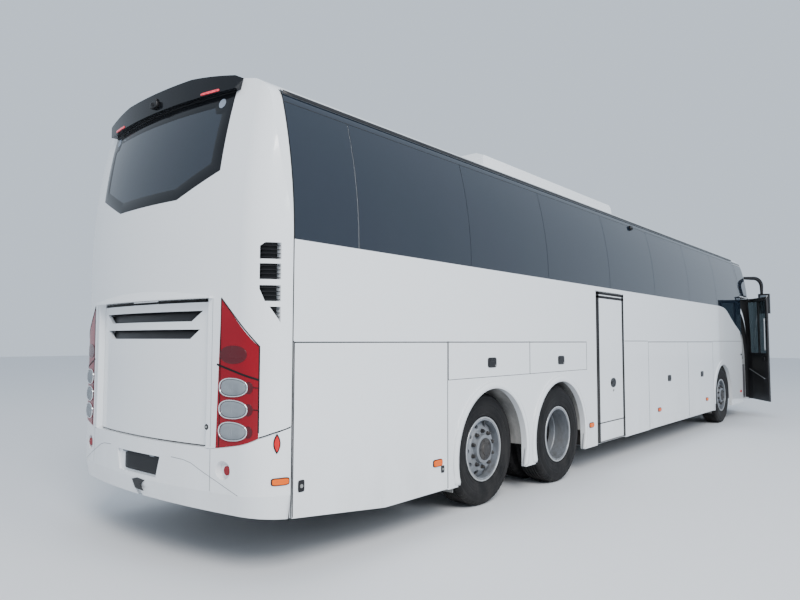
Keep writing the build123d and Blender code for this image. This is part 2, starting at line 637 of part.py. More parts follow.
for y in (-280, 0, 280):
    rib = block(DOOR_EDGE_X, NOSE + 60, y - RIB_W / 2, y + RIB_W / 2, AIR_INTAKE[0][1], AIR_INTAKE[2][1])
    grille = grille + (nose_lining & rib)
nose = nose - intake
for side in (-1, 1):
    pocket = Pos(FRONT_FOG_FLOOR + 73, side * FRONT_FOG_Y, FRONT_FOG_Z) * Rot(0, 90, 0) * Cone(FOG_R - 10, FOG_R + 16, 146)
    nose = nose - pocket
    lens = Pos(FRONT_FOG_FLOOR + FIT + LENS_L / 2, side * FRONT_FOG_Y, FRONT_FOG_Z) * Rot(0, 90, 0)
    lights.append(lens * Cylinder(FRONT_LENS_R, LENS_L))
save(nose, "front_panel")
save(grille, "front_grille")
save(Compound(children=[s for p in lights for s in p.solids()]), "headlamps")
save(layer(0, SKIN, *NOSE_BOX) & screen_cut, "windscreen")

# Front door: a framed leaf with glass above, turned out on its pivot post
LEAF_BOX = (SIDE_FRONT + SHUT, DOOR_PIVOT_X + 2, -HALF - 20, -HALF + 243, DOOR_BOTTOM, DOOR_TOP - SHUT)
light_box = block(SIDE_FRONT + 75, DOOR_PIVOT_X - 60, -HALF - 20, -700, 1300, DOOR_TOP - 80)
PANE_BOX = (SIDE_FRONT + 45, DOOR_PIVOT_X - 30, -HALF - 20, -700, 1270, DOOR_TOP - 50)
leaf = layer(0, FLAP, *LEAF_BOX) - light_box - layer(0, UNDER, *PANE_BOX)
leaf = leaf + layer(UNDER, FLAP, DOOR_BAR_X, DOOR_BAR_X + DOOR_BAR_W, -HALF - 20, -700, 1290, DOOR_TOP - 70)
rail_y = -HALF + RAIL_OFF
foot_l = RAIL_OFF - FLAP + RAIL_ROOT
foot_y = rail_y - foot_l / 2
grab_x = SIDE_FRONT + 42
leaf = leaf + Pos(grab_x, rail_y, (GRAB_Z[0] + GRAB_Z[1]) / 2) * Cylinder(GRAB_R, GRAB_Z[1] - GRAB_Z[0] + 50)
for z in GRAB_Z:
    leaf = leaf + Pos(grab_x, foot_y, z) * Rot(90, 0, 0) * Cylinder(GRAB_R - 2, foot_l)
(low_x, low_z), (high_x, high_z) = SLOPE_RAIL
slope = math.degrees(math.atan2(high_z - low_z, high_x - low_x))
slope_l = math.hypot(high_z - low_z, high_x - low_x) + 70
leaf = leaf + Pos((low_x + high_x) / 2, rail_y, (low_z + high_z) / 2) * Rot(0, 90 - slope, 0) * Cylinder(SLOPE_R, slope_l)
for x, z in SLOPE_RAIL:
    leaf = leaf + Pos(x, foot_y, z) * Rot(90, 0, 0) * Cylinder(SLOPE_R - 1, foot_l)
leaf_post = Pos(DOOR_PIVOT_X, PIVOT_Y, 0) * extrude(
    Plane.XY.offset(DOOR_BOTTOM) * Circle(POST_R), DOOR_TOP + 30 - DOOR_BOTTOM)
swing = Pos(DOOR_PIVOT_X, PIVOT_Y, 0) * Rot(0, 0, DOOR_AJAR) * Pos(-DOOR_PIVOT_X, -PIVOT_Y, 0)
save(swing * (leaf + leaf_post), "front_door")
save(swing * layer(0, SKIN, *PANE_BOX), "front_door_glass")

# Roof unit
with BuildSketch(Plane.YZ.offset(-3730)) as unit_face:
    with BuildLine():
        Polyline((-950, 3380), (-930, 3500), (-780, 3565), (780, 3565), (930, 3500), (950, 3380), close=True)
    make_face()
unit = extrude(unit_face.sketch, 3400, dir=(1, 0, 0))
for x, turn in ((-3730, 1), (-330, -1)):
    wedge = side_profile([(x - turn * 5, 3680), (x - turn * 5, 3460), (x + turn * 260, 3680)], -1000, 1000)
    unit = unit - wedge
save(unit - SOLID["side", 0], "roof_unit")

# Luggage racks along both sides, with hangers from the roof
rack = rear_prism(RACK, RACK_X0, RACK_X1)
for i in range(9):
    x = RACK_X0 + 100 + (RACK_X1 - RACK_X0 - 200) * i / 8
    rack = rack + block(x - HANGER_W / 2, x + HANGER_W / 2, HANGER_Y - 9, HANGER_Y + 9, RACK[3][1] - 20, ROOF)
rack = rack & SOLID["side", WALL]
save(rack + across(rack), "luggage_racks")

# Saloon floor with a well cut for the middle stairs
side_in = HALF - WALL
WELL_Y = -550
WELL_T = 20
deck = block(REAR_SEAM + 60, 4700, -side_in, side_in, DECK_Z - DECK_T, DECK_Z)
deck = deck - block(MID_X0, MID_X1, -side_in - 1, WELL_Y, DECK_Z - 2 * DECK_T, DECK_Z + 10)
save(deck, "deck")

# Front platform: two steps up to the saloon, a riser under the floor's front edge, and stairs down to the doorway
stair_in = -(RAIL_Y + RAIL_W / 2)
stair_out = -side_in + STAIR_GAP
platform = block(PLATFORM_X0, PLATFORM_X1, stair_in - WELL_T, side_in, PLATFORM_Z - DECK_T, PLATFORM_Z)
platform = platform + block(PLATFORM_X0, PLATFORM_X0 + PLATE_T, -side_in, side_in, PLATFORM_Z - DECK_T, DECK_Z - DECK_T)
for i in range(2):
    platform = platform + block(PLATFORM_X0, PLATFORM_X0 + 540 - 260 * i, -450, 250, PLATFORM_Z, PLATFORM_Z + 170 * (i + 1))
for i in range(3):
    z = STEP_Z0 + STEP_RISE * i
    y = stair_out + STEP_GO * i
    platform = platform + block(STAIR_X0, PLATFORM_X1, y, min(y + STEP_GO + WELL_T, stair_in - 2), z - PLATE_T, z)
    platform = platform + block(STAIR_X0, PLATFORM_X1, min(y + STEP_GO, stair_in - WELL_T - 2),
                                min(y + STEP_GO + WELL_T, stair_in - 2), z - PLATE_T, z + STEP_RISE)
for x in (STAIR_X0, PLATFORM_X1 - WELL_T):
    platform = platform + block(x, x + WELL_T, stair_out, stair_in - 2, STEP_Z0 - PLATE_T, PLATFORM_Z)
save(platform, "front_platform")

# Middle stairs: a boxed well with four treads
stairs = block(MID_X0, MID_X1, -side_in, WELL_Y, 420, 460)
for i in range(4):
    y = -1100 + 137 * i
    z = 680 + 220 * i
    stairs = stairs + block(MID_X0, MID_X1, y, WELL_Y, z - PLATE_T, z)
    stairs = stairs + block(MID_X0, MID_X1, y, y + WELL_T, z - 220 - PLATE_T, z)
stairs = stairs + block(MID_X0 - WELL_T, MID_X0, -side_in, WELL_Y, 420, DECK_Z - DECK_T)
stairs = stairs + block(MID_X1, MID_X1 + WELL_T, -side_in, WELL_Y, 420, DECK_Z - DECK_T)
stairs = stairs + block(MID_X0 - WELL_T, MID_X1 + WELL_T, WELL_Y, WELL_Y + WELL_T, 420, DECK_Z - DECK_T)
save(stairs, "mid_stairs")

# Frame: rails in front of and behind the luggage bays, which carry the load through their floor and bulkheads
frame = None
for side in (-1, 1):
    for x0, x1 in ((REAR_SEAM + 60, BULKHEADS[0] + BULKHEAD_T), (BULKHEADS[-1], 6500)):
        rail = block(x0, x1, side * (RAIL_Y - RAIL_W / 2), side * (RAIL_Y + RAIL_W / 2), RAIL_Z, RAIL_Z + RAIL_H)
        frame = rail if frame is None else frame + rail
for x in (-6400, -4750, -3380, -1950, 3560, 4850, 6300):
    frame = frame + block(x, x + 60, -RAIL_Y, RAIL_Y, RAIL_Z + 20, RAIL_Z + RAIL_H - 20)
bay_x0 = BULKHEADS[0]
bay_x1 = BULKHEADS[-1] + BULKHEAD_T
frame = frame + block(bay_x0, bay_x1, -side_in, side_in, BAY_FLOOR - BAY_FLOOR_T, BAY_FLOOR)
frame = frame - block(MID_X0 - WELL_T, MID_X1 + WELL_T, -side_in - 1, WELL_Y + WELL_T, 300, 420)
for x in BULKHEADS:
    panel = block(x, x + BULKHEAD_T, -side_in, side_in, BAY_FLOOR, DECK_Z - DECK_T)
    frame = frame + panel
save(frame, "chassis_frame")

# Wheel housings
houses = []
HOUSE_T = 15
FLAP_RUBBER = 10
MUD_FLAP_Z = 230
for x, radius, inner in ((TAG_X, ARCH_R, 640), (DRIVE_X, ARCH_R, 590), (FRONT_X, 665, 560)):
    for side in (-1, 1):
        y0, y1 = sorted((side * inner, side * side_in))
        ring = Pos(x, (y0 + y1) / 2, ARCH_Z) * Rot(90, 0, 0) * (
            Cylinder(radius + HOUSE_T, y1 - y0) - Cylinder(radius, y1 - y0 - 2 * HOUSE_T))
        ring = ring - block(x - radius - 50, x + radius + 50, y0, y1, ARCH_Z - radius - 50, ARCH_Z)
        open_side = block(x - radius - 50, x + radius + 50, side * (side_in - HOUSE_T), side * (side_in + 1),
                          ARCH_Z - 100, ARCH_Z + radius)
        ring = ring - (open_side & (Pos(x, side * side_in, ARCH_Z) * Rot(90, 0, 0) * Cylinder(radius, 100)))
        if x != DRIVE_X:
            ring = ring + block(x - radius - HOUSE_T, x - radius - HOUSE_T + FLAP_RUBBER, y0, y1, MUD_FLAP_Z, ARCH_Z + 5)
        slot_end = side * (inner + HOUSE_T + 5)
        houses.append(ring - block(x - 150, x + 150, min(0, slot_end), max(0, slot_end), 0, WHEEL_Z + 260))
save(Compound(children=[s for h in houses for s in h.solids()]), "wheel_housings")

# Engine and gearbox
engine = block(-6340, -5150, -430 + RAIL_W / 2, 430 - RAIL_W / 2, 480, 1350)
engine = engine + Pos(-4950, 0, 790) * Rot(0, 90, 0) * Cylinder(230, 400)
save(engine, "engine")


# Seats in pairs either side of the aisle, and the driver's seat
def seat(x, y0, y1, floor):
    outline = [(x, floor + 330), (x + 470, floor + 350), (x + 480, floor + 450), (x + 110, floor + 430),
               (x - 60, floor + 1090), (x - 150, floor + 1090), (x - 40, floor + 400)]
    body = side_profile(outline, y0, y1)
    leg = block(x + 60, x + 360, (y0 + y1) / 2 - 40, (y0 + y1) / 2 + 40, floor, floor + 380)
    return body + leg


seats = []
for row in range(SEAT_ROWS):
    x = SEAT_FIRST_X + SEAT_PITCH * row
    for side in (-1, 1):
        y0, y1 = sorted((side * AISLE / 2, side * (AISLE / 2 + 2 * SEAT_W)))
        if side < 0 and MID_X0 - 500 < x < MID_X1 + 100:
            continue
        seats.append(seat(x, y0, y1, DECK_Z))
seats.append(seat(5250, 280, 780, PLATFORM_Z))
save(Compound(children=[s for h in seats for s in h.solids()]), "seats")

# Dashboard with steering column and wheel
dash = side_profile([(6250, 1350), (6300, 1500), (6800, 1500), (6800, 1050), (6500, 1050)], -500, 1150)
dash = dash & SOLID["nose", WALL]
COLUMN_TILT = 35
COLUMN_L = 520
column_foot = Vector(6420, 530, 1250)
column_axis = Vector(-math.sin(math.radians(COLUMN_TILT)), 0, math.cos(math.radians(COLUMN_TILT)))
column_top = column_foot + column_axis * COLUMN_L
tilt = Rot(0, -COLUMN_TILT, 0)
column = Pos(*(column_foot + column_axis * (COLUMN_L / 2))) * tilt * Cylinder(35, COLUMN_L)
wheel = Pos(*column_top) * tilt * Torus(225, 18)
spokes = Pos(*column_top) * tilt * Box(420, 50, 16)
save(dash + column + wheel + spokes, "dashboard")

# Mirrors on curved arms
ARM_ROOT = Vector(6600, -1110, 2960)
ARM_DIR = Vector(0.737, -0.676, 0)
ARM_BEND = 180
bend = ARM_ROOT + ARM_DIR * 326
low = bend + ARM_DIR * ARM_BEND - Vector(0, 0, ARM_BEND)
half = math.sqrt(0.5)
with BuildLine() as arm_line:
    Line(ARM_ROOT, bend)
    ThreePointArc(bend, bend + ARM_DIR * (ARM_BEND * half) - Vector(0, 0, ARM_BEND * (1 - half)), low)
    Line(low, low - Vector(0, 0, 200))
arm = sweep(Plane(origin=ARM_ROOT, z_dir=ARM_DIR) * Circle(24), path=arm_line.line)
head = fillet((Pos(6960, -1500, 2390) * Box(150, 230, 440)).edges().filter_by(Axis.Z), 50)
mirror_right = (arm + head) - SOLID["nose", 0]
mirror_parts = list(mirror_right.solids())
mirror_parts = [s for s in mirror_parts if s.volume > 1000]
mirror_parts += [across(s) for s in mirror_parts]
save(Compound(children=mirror_parts), "mirrors")

# Antenna
whip = Pos(5400, 0, 3425) * Cylinder(30, 60) + Pos(5400, 0, 3455) * Rot(0, -18, 0) * Pos(0, 0, 180) * Cylinder(4, 380)
save(whip - SOLID["side", 0], "antenna")


# Wheels
def spin(points, y, side):
    """A body of revolution about the axle from (distance outward, radius) points."""
    with BuildSketch(Plane.XY) as sketch:
        with BuildLine():
            Polyline(*[(radius, side * out) for out, radius in points], close=True)
        make_face()
    ring = revolve(sketch.sketch, axis=Axis.Y)
    return Pos(0, y, 0) * ring


SEAT_R = BEAD_R + FIT
TYRE_OUT = [(-118, SEAT_R), (-118, RIM_R + 3), (-138, 345), (-145, 420), (-128, 508), (-100, 525),
            (100, 525), (128, 508), (145, 420), (138, 345), (118, RIM_R + 3), (118, SEAT_R)]
TYRE_IN = [(96, SEAT_R), (118, 345), (123, 420), (108, 492), (-108, 492), (-123, 420), (-118, 345), (-96, SEAT_R)]


def tyre(x, y, side):
    return Pos(x, 0, WHEEL_Z) * spin(TYRE_OUT + TYRE_IN, y, side)


def barrel():
    return [(-119, BEAD_R), (-119, RIM_R), (-126, RIM_R), (-126, BEAD_R - 16), (126, BEAD_R - 16), (126, RIM_R),
            (119, RIM_R), (119, BEAD_R)]


def rim(x, y, side, disc, hub_r, bore_r):
    """A rim with its disc: hand holes round the bowl and a raised hub in the middle."""
    face = spin(disc, y, side)
    for i in range(10):
        angle = math.radians(36 * i)
        face = face - Pos(HAND_R * math.cos(angle), y, HAND_R * math.sin(angle)) * Rot(90, 0, 0) * Cylinder(26, 400)
    shape = spin(barrel(), y, side) + face
    return Pos(x, 0, WHEEL_Z) * (shape - Pos(0, y, 0) * Rot(90, 0, 0) * Cylinder(bore_r, 700))


SPINDLE_R = 42
BORE_R = SPINDLE_R + FIT
PROUD_DISC = [(20, 272), (60, 262), (96, 206), (104, 196), (104, 140), (136, 132), (142, 112), (142, 30), (50, 30),
              (50, 120), (90, 136), (90, 190), (82, 198), (46, 255), (6, 265)]
DEEP_DISC = [(-40, 272), (-110, 262), (-146, 180), (-152, 160), (-152, 100), (-60, 95), (-60, 30), (-165, 30),
             (-165, 165), (-122, 255), (-54, 265)]
INNER_DISC = [(-x, r) for x, r in DEEP_DISC]
for side, word in ((-1, "right"), (1, "left")):
    y_front = side * (OUTER_FACE - TYRE_W / 2)
    y_tag = side * (TAG_FACE - TYRE_W / 2)
    y_inner = y_front - side * TWIN_STEP
    save(tyre(FRONT_X, y_front, side), "front_tyre_" + word)
    save(rim(FRONT_X, y_front, side, PROUD_DISC, 95, BORE_R), "front_rim_" + word)
    save(tyre(TAG_X, y_tag, side), "tag_tyre_" + word)
    save(rim(TAG_X, y_tag, side, PROUD_DISC, 95, BORE_R), "tag_rim_" + word)
    twin = [tyre(DRIVE_X, y_front, side), tyre(DRIVE_X, y_inner, side)]
    save(Compound(children=[s for t in twin for s in t.solids()]), "drive_tyres_" + word)
    pair = rim(DRIVE_X, y_front, side, DEEP_DISC, 95, BORE_R) + rim(DRIVE_X, y_inner, side, INNER_DISC, 95, BORE_R)
    save(pair, "drive_rims_" + word)
    # Knuckle on its kingpin
    pin_y = side * KINGPIN_Y
    knuckle = Pos(FRONT_X, pin_y, WHEEL_Z) * Cylinder(20, 260)
    for dz in (-105, 105):
        knuckle = knuckle + block(FRONT_X - 50, FRONT_X + 50, pin_y - 50, pin_y + 50, WHEEL_Z + dz - 20, WHEEL_Z + dz + 20)
    knuckle = knuckle + block(FRONT_X - 50, FRONT_X + 50, pin_y + side * 50, pin_y + side * 80, WHEEL_Z - 125, WHEEL_Z + 125)
    stub = Pos(FRONT_X, (pin_y + y_front + side * 110) / 2, WHEEL_Z) * Rot(90, 0, 0) * Cylinder(
        SPINDLE_R, abs(y_front + side * 110 - pin_y) - 50)
    knuckle = knuckle + Pos(0, side * 25, 0) * stub
    save(knuckle, "knuckle_" + word)

# Axles
beam = block(FRONT_X - 50, FRONT_X + 50, -KINGPIN_Y + 60, KINGPIN_Y - 60, WHEEL_Z - 60, WHEEL_Z + 60)
for side in (-1, 1):
    beam = beam + Pos(FRONT_X, side * KINGPIN_Y, WHEEL_Z) * Cylinder(48, 160)
    beam = beam + block(FRONT_X - 40, FRONT_X + 40, side * (KINGPIN_Y - 70), side * KINGPIN_Y, WHEEL_Z - 60, WHEEL_Z + 60)
    beam = beam - Pos(FRONT_X, side * KINGPIN_Y, WHEEL_Z) * Cylinder(20 + FIT, 300)
    beam = beam + block(FRONT_X - 40, FRONT_X + 40, side * (RAIL_Y - 40), side * (RAIL_Y + 40), WHEEL_Z, RAIL_Z)
save(beam, "front_beam")
for x, name, face in ((DRIVE_X, "drive_axle", OUTER_FACE), (TAG_X, "tag_axle", TAG_FACE)):
    inner = face - TYRE_W / 2 - (TWIN_STEP + 60 if name == "drive_axle" else 0)
    axle = Pos(x, 0, WHEEL_Z) * Rot(90, 0, 0) * Cylinder(75, 2 * (face - TYRE_W / 2 - 480))
    tip = face - TYRE_W / 2 + (-70 if name == "drive_axle" else 110)
    axle = axle + Pos(x, 0, WHEEL_Z) * Rot(90, 0, 0) * Cylinder(SPINDLE_R, 2 * tip)
    if name == "drive_axle":
        axle = axle + Pos(x, 0, WHEEL_Z) * Sphere(190)
    for side in (-1, 1):
        axle = axle + block(x - 60, x + 60, side * (RAIL_Y - 40), side * (RAIL_Y + 40), WHEEL_Z, RAIL_Z)
    save(axle, name)
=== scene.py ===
import math
from functools import partial
import bpy
import numpy as np
from mathutils import Matrix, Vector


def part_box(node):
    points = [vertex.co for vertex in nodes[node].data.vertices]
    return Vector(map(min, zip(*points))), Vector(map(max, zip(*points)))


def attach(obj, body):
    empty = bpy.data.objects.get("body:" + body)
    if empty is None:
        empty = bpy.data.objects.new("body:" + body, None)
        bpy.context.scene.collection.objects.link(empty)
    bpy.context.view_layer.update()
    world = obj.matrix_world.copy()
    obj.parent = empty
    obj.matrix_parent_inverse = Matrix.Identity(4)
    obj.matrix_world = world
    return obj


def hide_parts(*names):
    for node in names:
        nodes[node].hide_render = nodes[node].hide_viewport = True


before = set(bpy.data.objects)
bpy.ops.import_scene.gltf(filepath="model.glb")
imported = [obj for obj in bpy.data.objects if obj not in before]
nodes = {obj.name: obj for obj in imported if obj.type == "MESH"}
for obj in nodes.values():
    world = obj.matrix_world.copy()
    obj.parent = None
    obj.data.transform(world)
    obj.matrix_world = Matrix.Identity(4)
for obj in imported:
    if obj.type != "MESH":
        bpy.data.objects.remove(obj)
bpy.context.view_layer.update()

# Painted body panels: steel sides and moulded ends in gloss white with a clear coat.
# They are sprayed and polished, and carry a thin film of road dust that is thickest near the sills.


def make_group(name, inputs, outputs):
    """A new shader node group with its named sockets, then its input node and its output node."""
    group = bpy.data.node_groups.new(name, "ShaderNodeTree")
    for label, kind, value in inputs:
        socket = group.interface.new_socket(name=label, in_out="INPUT", socket_type="NodeSocket" + kind)
        socket.default_value = value
    for label, kind in outputs:
        group.interface.new_socket(name=label, in_out="OUTPUT", socket_type="NodeSocket" + kind)
    return group, group.nodes.new("NodeGroupInput"), group.nodes.new("NodeGroupOutput")


def wire(tree, kind, links, **settings):
    """A node of the given kind with its settings, each input linked to a socket or given a value."""
    node = tree.nodes.new("ShaderNode" + kind)
    for key, value in settings.items():
        setattr(node, key, value)
    for key, value in links.items():
        if isinstance(value, bpy.types.NodeSocket):
            tree.links.new(value, node.inputs[key])
        else:
            node.inputs[key].default_value = value
    return node


def mix_colour(tree, factor, first, second):
    """The colour between first and second at the given factor."""
    return wire(tree, "Mix", {0: factor, 6: first, 7: second}, data_type="RGBA").outputs[2]


def coated(name, group, bump=0.0, distance=0.001, **values):
    """A Principled material fed by an effect group, with the given values on its sockets.

    A value goes to the group's input of that name, or else to the surface's, with spaces for underscores.
    """
    material = bpy.data.materials.new(name)
    material.use_nodes = True
    tree = material.node_tree
    surface = tree.nodes["Principled BSDF"]
    effect = tree.nodes.new("ShaderNodeGroup")
    effect.node_tree = group
    for key, value in values.items():
        sockets = effect.inputs if key in effect.inputs else surface.inputs
        sockets[key.replace("_", " ")].default_value = value
    tree.links.new(effect.outputs["Color"], surface.inputs["Base Color"])
    tree.links.new(effect.outputs["Roughness"], surface.inputs["Roughness"])
    if bump:
        height = effect.outputs["Height"]
        relief = wire(tree, "Bump", {"Strength": bump, "Distance": distance, "Height": height})
        tree.links.new(relief.outputs[0], surface.inputs["Normal"])
    return material


# Road dust: more of it low on the body, broken up by streaky noise
dust, dust_in, dust_out = make_group(
    "road_dust",
    [("Paint", "Color", (0.8, 0.8, 0.8, 1)), ("Dust", "Color", (0.30, 0.27, 0.23, 1)),
     ("Reach", "Float", 1.0), ("Amount", "Float", 0.3), ("Gloss", "Float", 0.12), ("Grain", "Float", 3.0)],
    [("Color", "Color"), ("Roughness", "Float"), ("Height", "Float")])
place = wire(dust, "TexCoord", {}).outputs["Object"]
height = wire(dust, "SeparateXYZ", {0: place}).outputs["Z"]
low = wire(dust, "MapRange", {"Value": height, "From Min": 0.2, "From Max": dust_in.outputs["Reach"],
                              "To Min": 1.0, "To Max": 0.0}).outputs[0]
streaks = wire(dust, "Mapping", {"Vector": place, "Scale": (1.0, 1.0, 0.35)}).outputs[0]
streaks = wire(dust, "TexNoise", {"Vector": streaks, "Scale": dust_in.outputs["Grain"], "Detail": 8.0,
                                  "Roughness": 0.65}).outputs[0]
broken = wire(dust, "MapRange", {"Value": streaks, "From Min": 0.35, "From Max": 0.75}).outputs[0]
film = wire(dust, "Math", {0: low, 1: broken}, operation="MULTIPLY").outputs[0]
film = wire(dust, "Math", {0: film, 1: dust_in.outputs["Amount"]}, operation="MULTIPLY",
            use_clamp=True).outputs[0]
dull = wire(dust, "MapRange", {"Value": film, "From Max": 0.5, "To Min": dust_in.outputs["Gloss"],
                               "To Max": 0.6}).outputs[0]
peel = wire(dust, "TexNoise", {"Vector": place, "Scale": 45.0, "Detail": 2.0}).outputs[0]
dusted = mix_colour(dust, film, dust_in.outputs["Paint"], dust_in.outputs["Dust"])
dust.links.new(dusted, dust_out.inputs["Color"])
dust.links.new(dull, dust_out.inputs["Roughness"])
dust.links.new(peel, dust_out.inputs["Height"])

white_paint = coated("white_paint", dust, Paint=(0.80, 0.82, 0.84, 1), Amount=0.22, Gloss=0.16, bump=0.02,
                     Coat_Weight=0.6, Coat_Roughness=0.04)


def finish_nodes(names, material):
    """Gives each of the named CAD nodes its material."""
    for name in names:
        slots = nodes[name].data.materials
        slots.clear()
        slots.append(material)


painted = ("side_wall", "roof_", "rear_panel", "rear_bumper", "front_panel", "mid_door", "engine_hatch",
           "luggage_flap", "engine_flap", "tag_arch_flap", "drive_arch_flap")
finish_nodes([name for name in nodes if name.startswith(painted)], white_paint)

# Bonded glass: dark tinted panes, flush with the body, and the screen in lighter tint.
# Each pane is cut and bent in one sheet and glued over the body frame.


def tinted(name, tint, through):
    """Glass of one tint with the given light passing through, and faint dust in its roughness."""
    return coated(name, dust, Paint=tint, Dust=(0.10, 0.10, 0.10, 1), Reach=3.3, Amount=0.12, Gloss=0.02,
                  IOR=1.5, Transmission_Weight=through, Coat_Weight=0.2, Coat_Roughness=0.02)


side_glass = tinted("side_glass", (0.012, 0.020, 0.034, 1), 0.25)
screen_glass = tinted("screen_glass", (0.10, 0.13, 0.14, 1), 0.75)
finish_nodes(("side_glass_right", "side_glass_left", "rear_window", "gutter_rails"), side_glass)
finish_nodes(("windscreen", "front_door_glass"), screen_glass)

# Black mouldings: spoiler, mirrors, dash, grilles and wheel housings in grained plastic or satin black paint.
# They are injection moulded, clipped or bonded on, and a little faded on top.
grain, grain_in, grain_out = make_group(
    "moulded_grain",
    [("Paint", "Color", (0.02, 0.02, 0.02, 1)), ("Fade", "Color", (0.06, 0.06, 0.06, 1)),
     ("Gloss", "Float", 0.45), ("Size", "Float", 400.0)],
    [("Color", "Color"), ("Roughness", "Float"), ("Height", "Float")])
place = wire(grain, "TexCoord", {}).outputs["Object"]
cells = wire(grain, "TexVoronoi", {"Vector": place, "Scale": grain_in.outputs["Size"]}).outputs["Distance"]
cloud = wire(grain, "TexNoise", {"Vector": place, "Scale": 2.5, "Detail": 6.0}).outputs[0]
cloud = wire(grain, "MapRange", {"Value": cloud, "From Min": 0.4, "From Max": 0.8, "To Max": 0.6}).outputs[0]
uneven = wire(grain, "Math", {0: cloud, 1: 0.3, 2: grain_in.outputs["Gloss"]},
              operation="MULTIPLY_ADD").outputs[0]
faded = mix_colour(grain, cloud, grain_in.outputs["Paint"], grain_in.outputs["Fade"])
grain.links.new(faded, grain_out.inputs["Color"])
grain.links.new(uneven, grain_out.inputs["Roughness"])
grain.links.new(cells, grain_out.inputs["Height"])

# Black for grained trim, and for the painted shadow strip under the spoiler
black_trim = coated("black_trim", grain, Paint=(0.012, 0.012, 0.014, 1), Fade=(0.03, 0.03, 0.032, 1),
                    Gloss=0.30, bump=0.04, distance=0.0003, Specular_IOR_Level=0.25)
gloss_black = coated("gloss_black", grain, Paint=(0.006, 0.007, 0.009, 1), Fade=(0.012, 0.013, 0.016, 1),
                     Gloss=0.10, Coat_Weight=0.12, Coat_Roughness=0.03, Specular_IOR_Level=0.2)
under_black = coated("under_black", dust, Paint=(0.025, 0.025, 0.028, 1), Dust=(0.16, 0.14, 0.12, 1),
                     Reach=2.2, Amount=0.9, Gloss=0.55, Grain=6.0, bump=0.1)
dirty_guard = coated("dirty_guard", dust, Paint=(0.07, 0.07, 0.072, 1), Dust=(0.42, 0.41, 0.39, 1),
                     Reach=3.2, Amount=1.0, Gloss=0.6, Grain=4.0, bump=0.12)
finish_nodes(("mirrors", "dashboard", "antenna", "corner_grilles", "hatch_louvres", "front_grille"),
             black_trim)
finish_nodes(("rear_spoiler",), gloss_black)
finish_nodes(("wheel_housings",), dirty_guard)
finish_nodes(("chassis_frame", "engine", "front_beam", "drive_axle", "tag_axle", "knuckle_right",
              "knuckle_left"), under_black)

# Saloon surfaces: grey floor covering on the floor, platform and stairs, and light grey luggage racks.
# The covering is rolled sheet glued down and turned up at the edges; the racks are moulded plastic.
floor_cover = coated("floor_cover", grain, Paint=(0.10, 0.10, 0.11, 1), Fade=(0.16, 0.16, 0.17, 1),
                     Gloss=0.55, Size=250.0, bump=0.05)
rack_grey = coated("rack_grey", grain, Paint=(0.34, 0.35, 0.36, 1), Fade=(0.42, 0.42, 0.42, 1), Gloss=0.5,
                   Size=300.0, bump=0.04, distance=0.0003)
finish_nodes(("deck", "front_platform", "mid_stairs"), floor_cover)
finish_nodes(("luggage_racks",), rack_grey)

# Rear window surround: a black printed border on the glass, notched at each upper corner round a small port.
# The border is fired on to the inside of the pane; the ports are pressed plastic.
SIDES = ((-1, "right"), (1, "left"))
HALF_WIDTH, CORNER = 1.275, 0.3
REAR_BOW, END = 4.5, 6.95
corner_out = HALF_WIDTH + 0.002 - CORNER


def knee_of(bow):
    """Where a bow meets its corner arc: the angle round the bow, and how far out the arc's centre is."""
    return math.asin(corner_out / (bow - CORNER)), math.sqrt((bow - CORNER) ** 2 - corner_out ** 2)


def on_bow(s, z, lift, side, bow):
    """Points on the bowed skin of an end, as outward from its apex, across and up.

    s is the length along the skin from the centreline: an arc of radius bow, then one of radius CORNER that
    touches it. z is the height and lift the distance off the skin. side is -1 on the right and 1 on the left.
    """
    s, z, lift, side = np.broadcast_arrays(np.asarray(s, float), z, lift, side)
    turn, knee = knee_of(bow)
    bowed = s < bow * turn
    a = np.where(bowed, s / bow, turn + (s - bow * turn) / CORNER)
    out = np.where(bowed, bow * np.cos(a), knee + CORNER * np.cos(a)) - bow + lift * np.cos(a)
    across = np.where(bowed, bow * np.sin(a), corner_out + CORNER * np.sin(a)) + lift * np.sin(a)
    return out, side * across, z


def on_rear(s, z, lift, side=-1):
    """Points on the rear skin, which leans in above 2.2 m with the square of the height, 133 mm in 1.09 m."""
    out, across, up = on_bow(s, z, lift, side, REAR_BOW)
    return np.stack([-END - out + 0.133 * (np.maximum(up - 2.2, 0) / 1.09) ** 2, across, up], -1)


def skin_length(y, bow):
    """How far along an end skin a place across lies: by the arc sine on the bow, then on the corner arc."""
    turn, _ = knee_of(bow)
    wide = np.abs(np.asarray(y, float))
    on_corner = np.arcsin(np.clip((wide - corner_out) / CORNER, -1, 1))
    return np.where(wide < bow * math.sin(turn), bow * np.arcsin(np.clip(wide / bow, 0, 1)),
                    bow * turn + CORNER * (on_corner - turn))


def rear_at(y, z, lift):
    """Points on the rear skin from the place across, for what crosses the centreline."""
    return on_rear(skin_length(y, REAR_BOW), z, lift, np.where(np.asarray(y) < 0, -1, 1))


def grid_faces(rows, cols, hoop):
    """The quads of a grid of rows by cols points whose columns loop, and whose rows loop too in a hoop."""
    r, c = np.meshgrid(np.arange(rows if hoop else rows - 1), np.arange(cols), indexing="ij")
    a, b = r * cols + c, (r + 1) % rows * cols + c
    d, e = r * cols + (c + 1) % cols, (r + 1) % rows * cols + (c + 1) % cols
    return np.stack([a, b, e, d], -1).reshape(-1, 4)


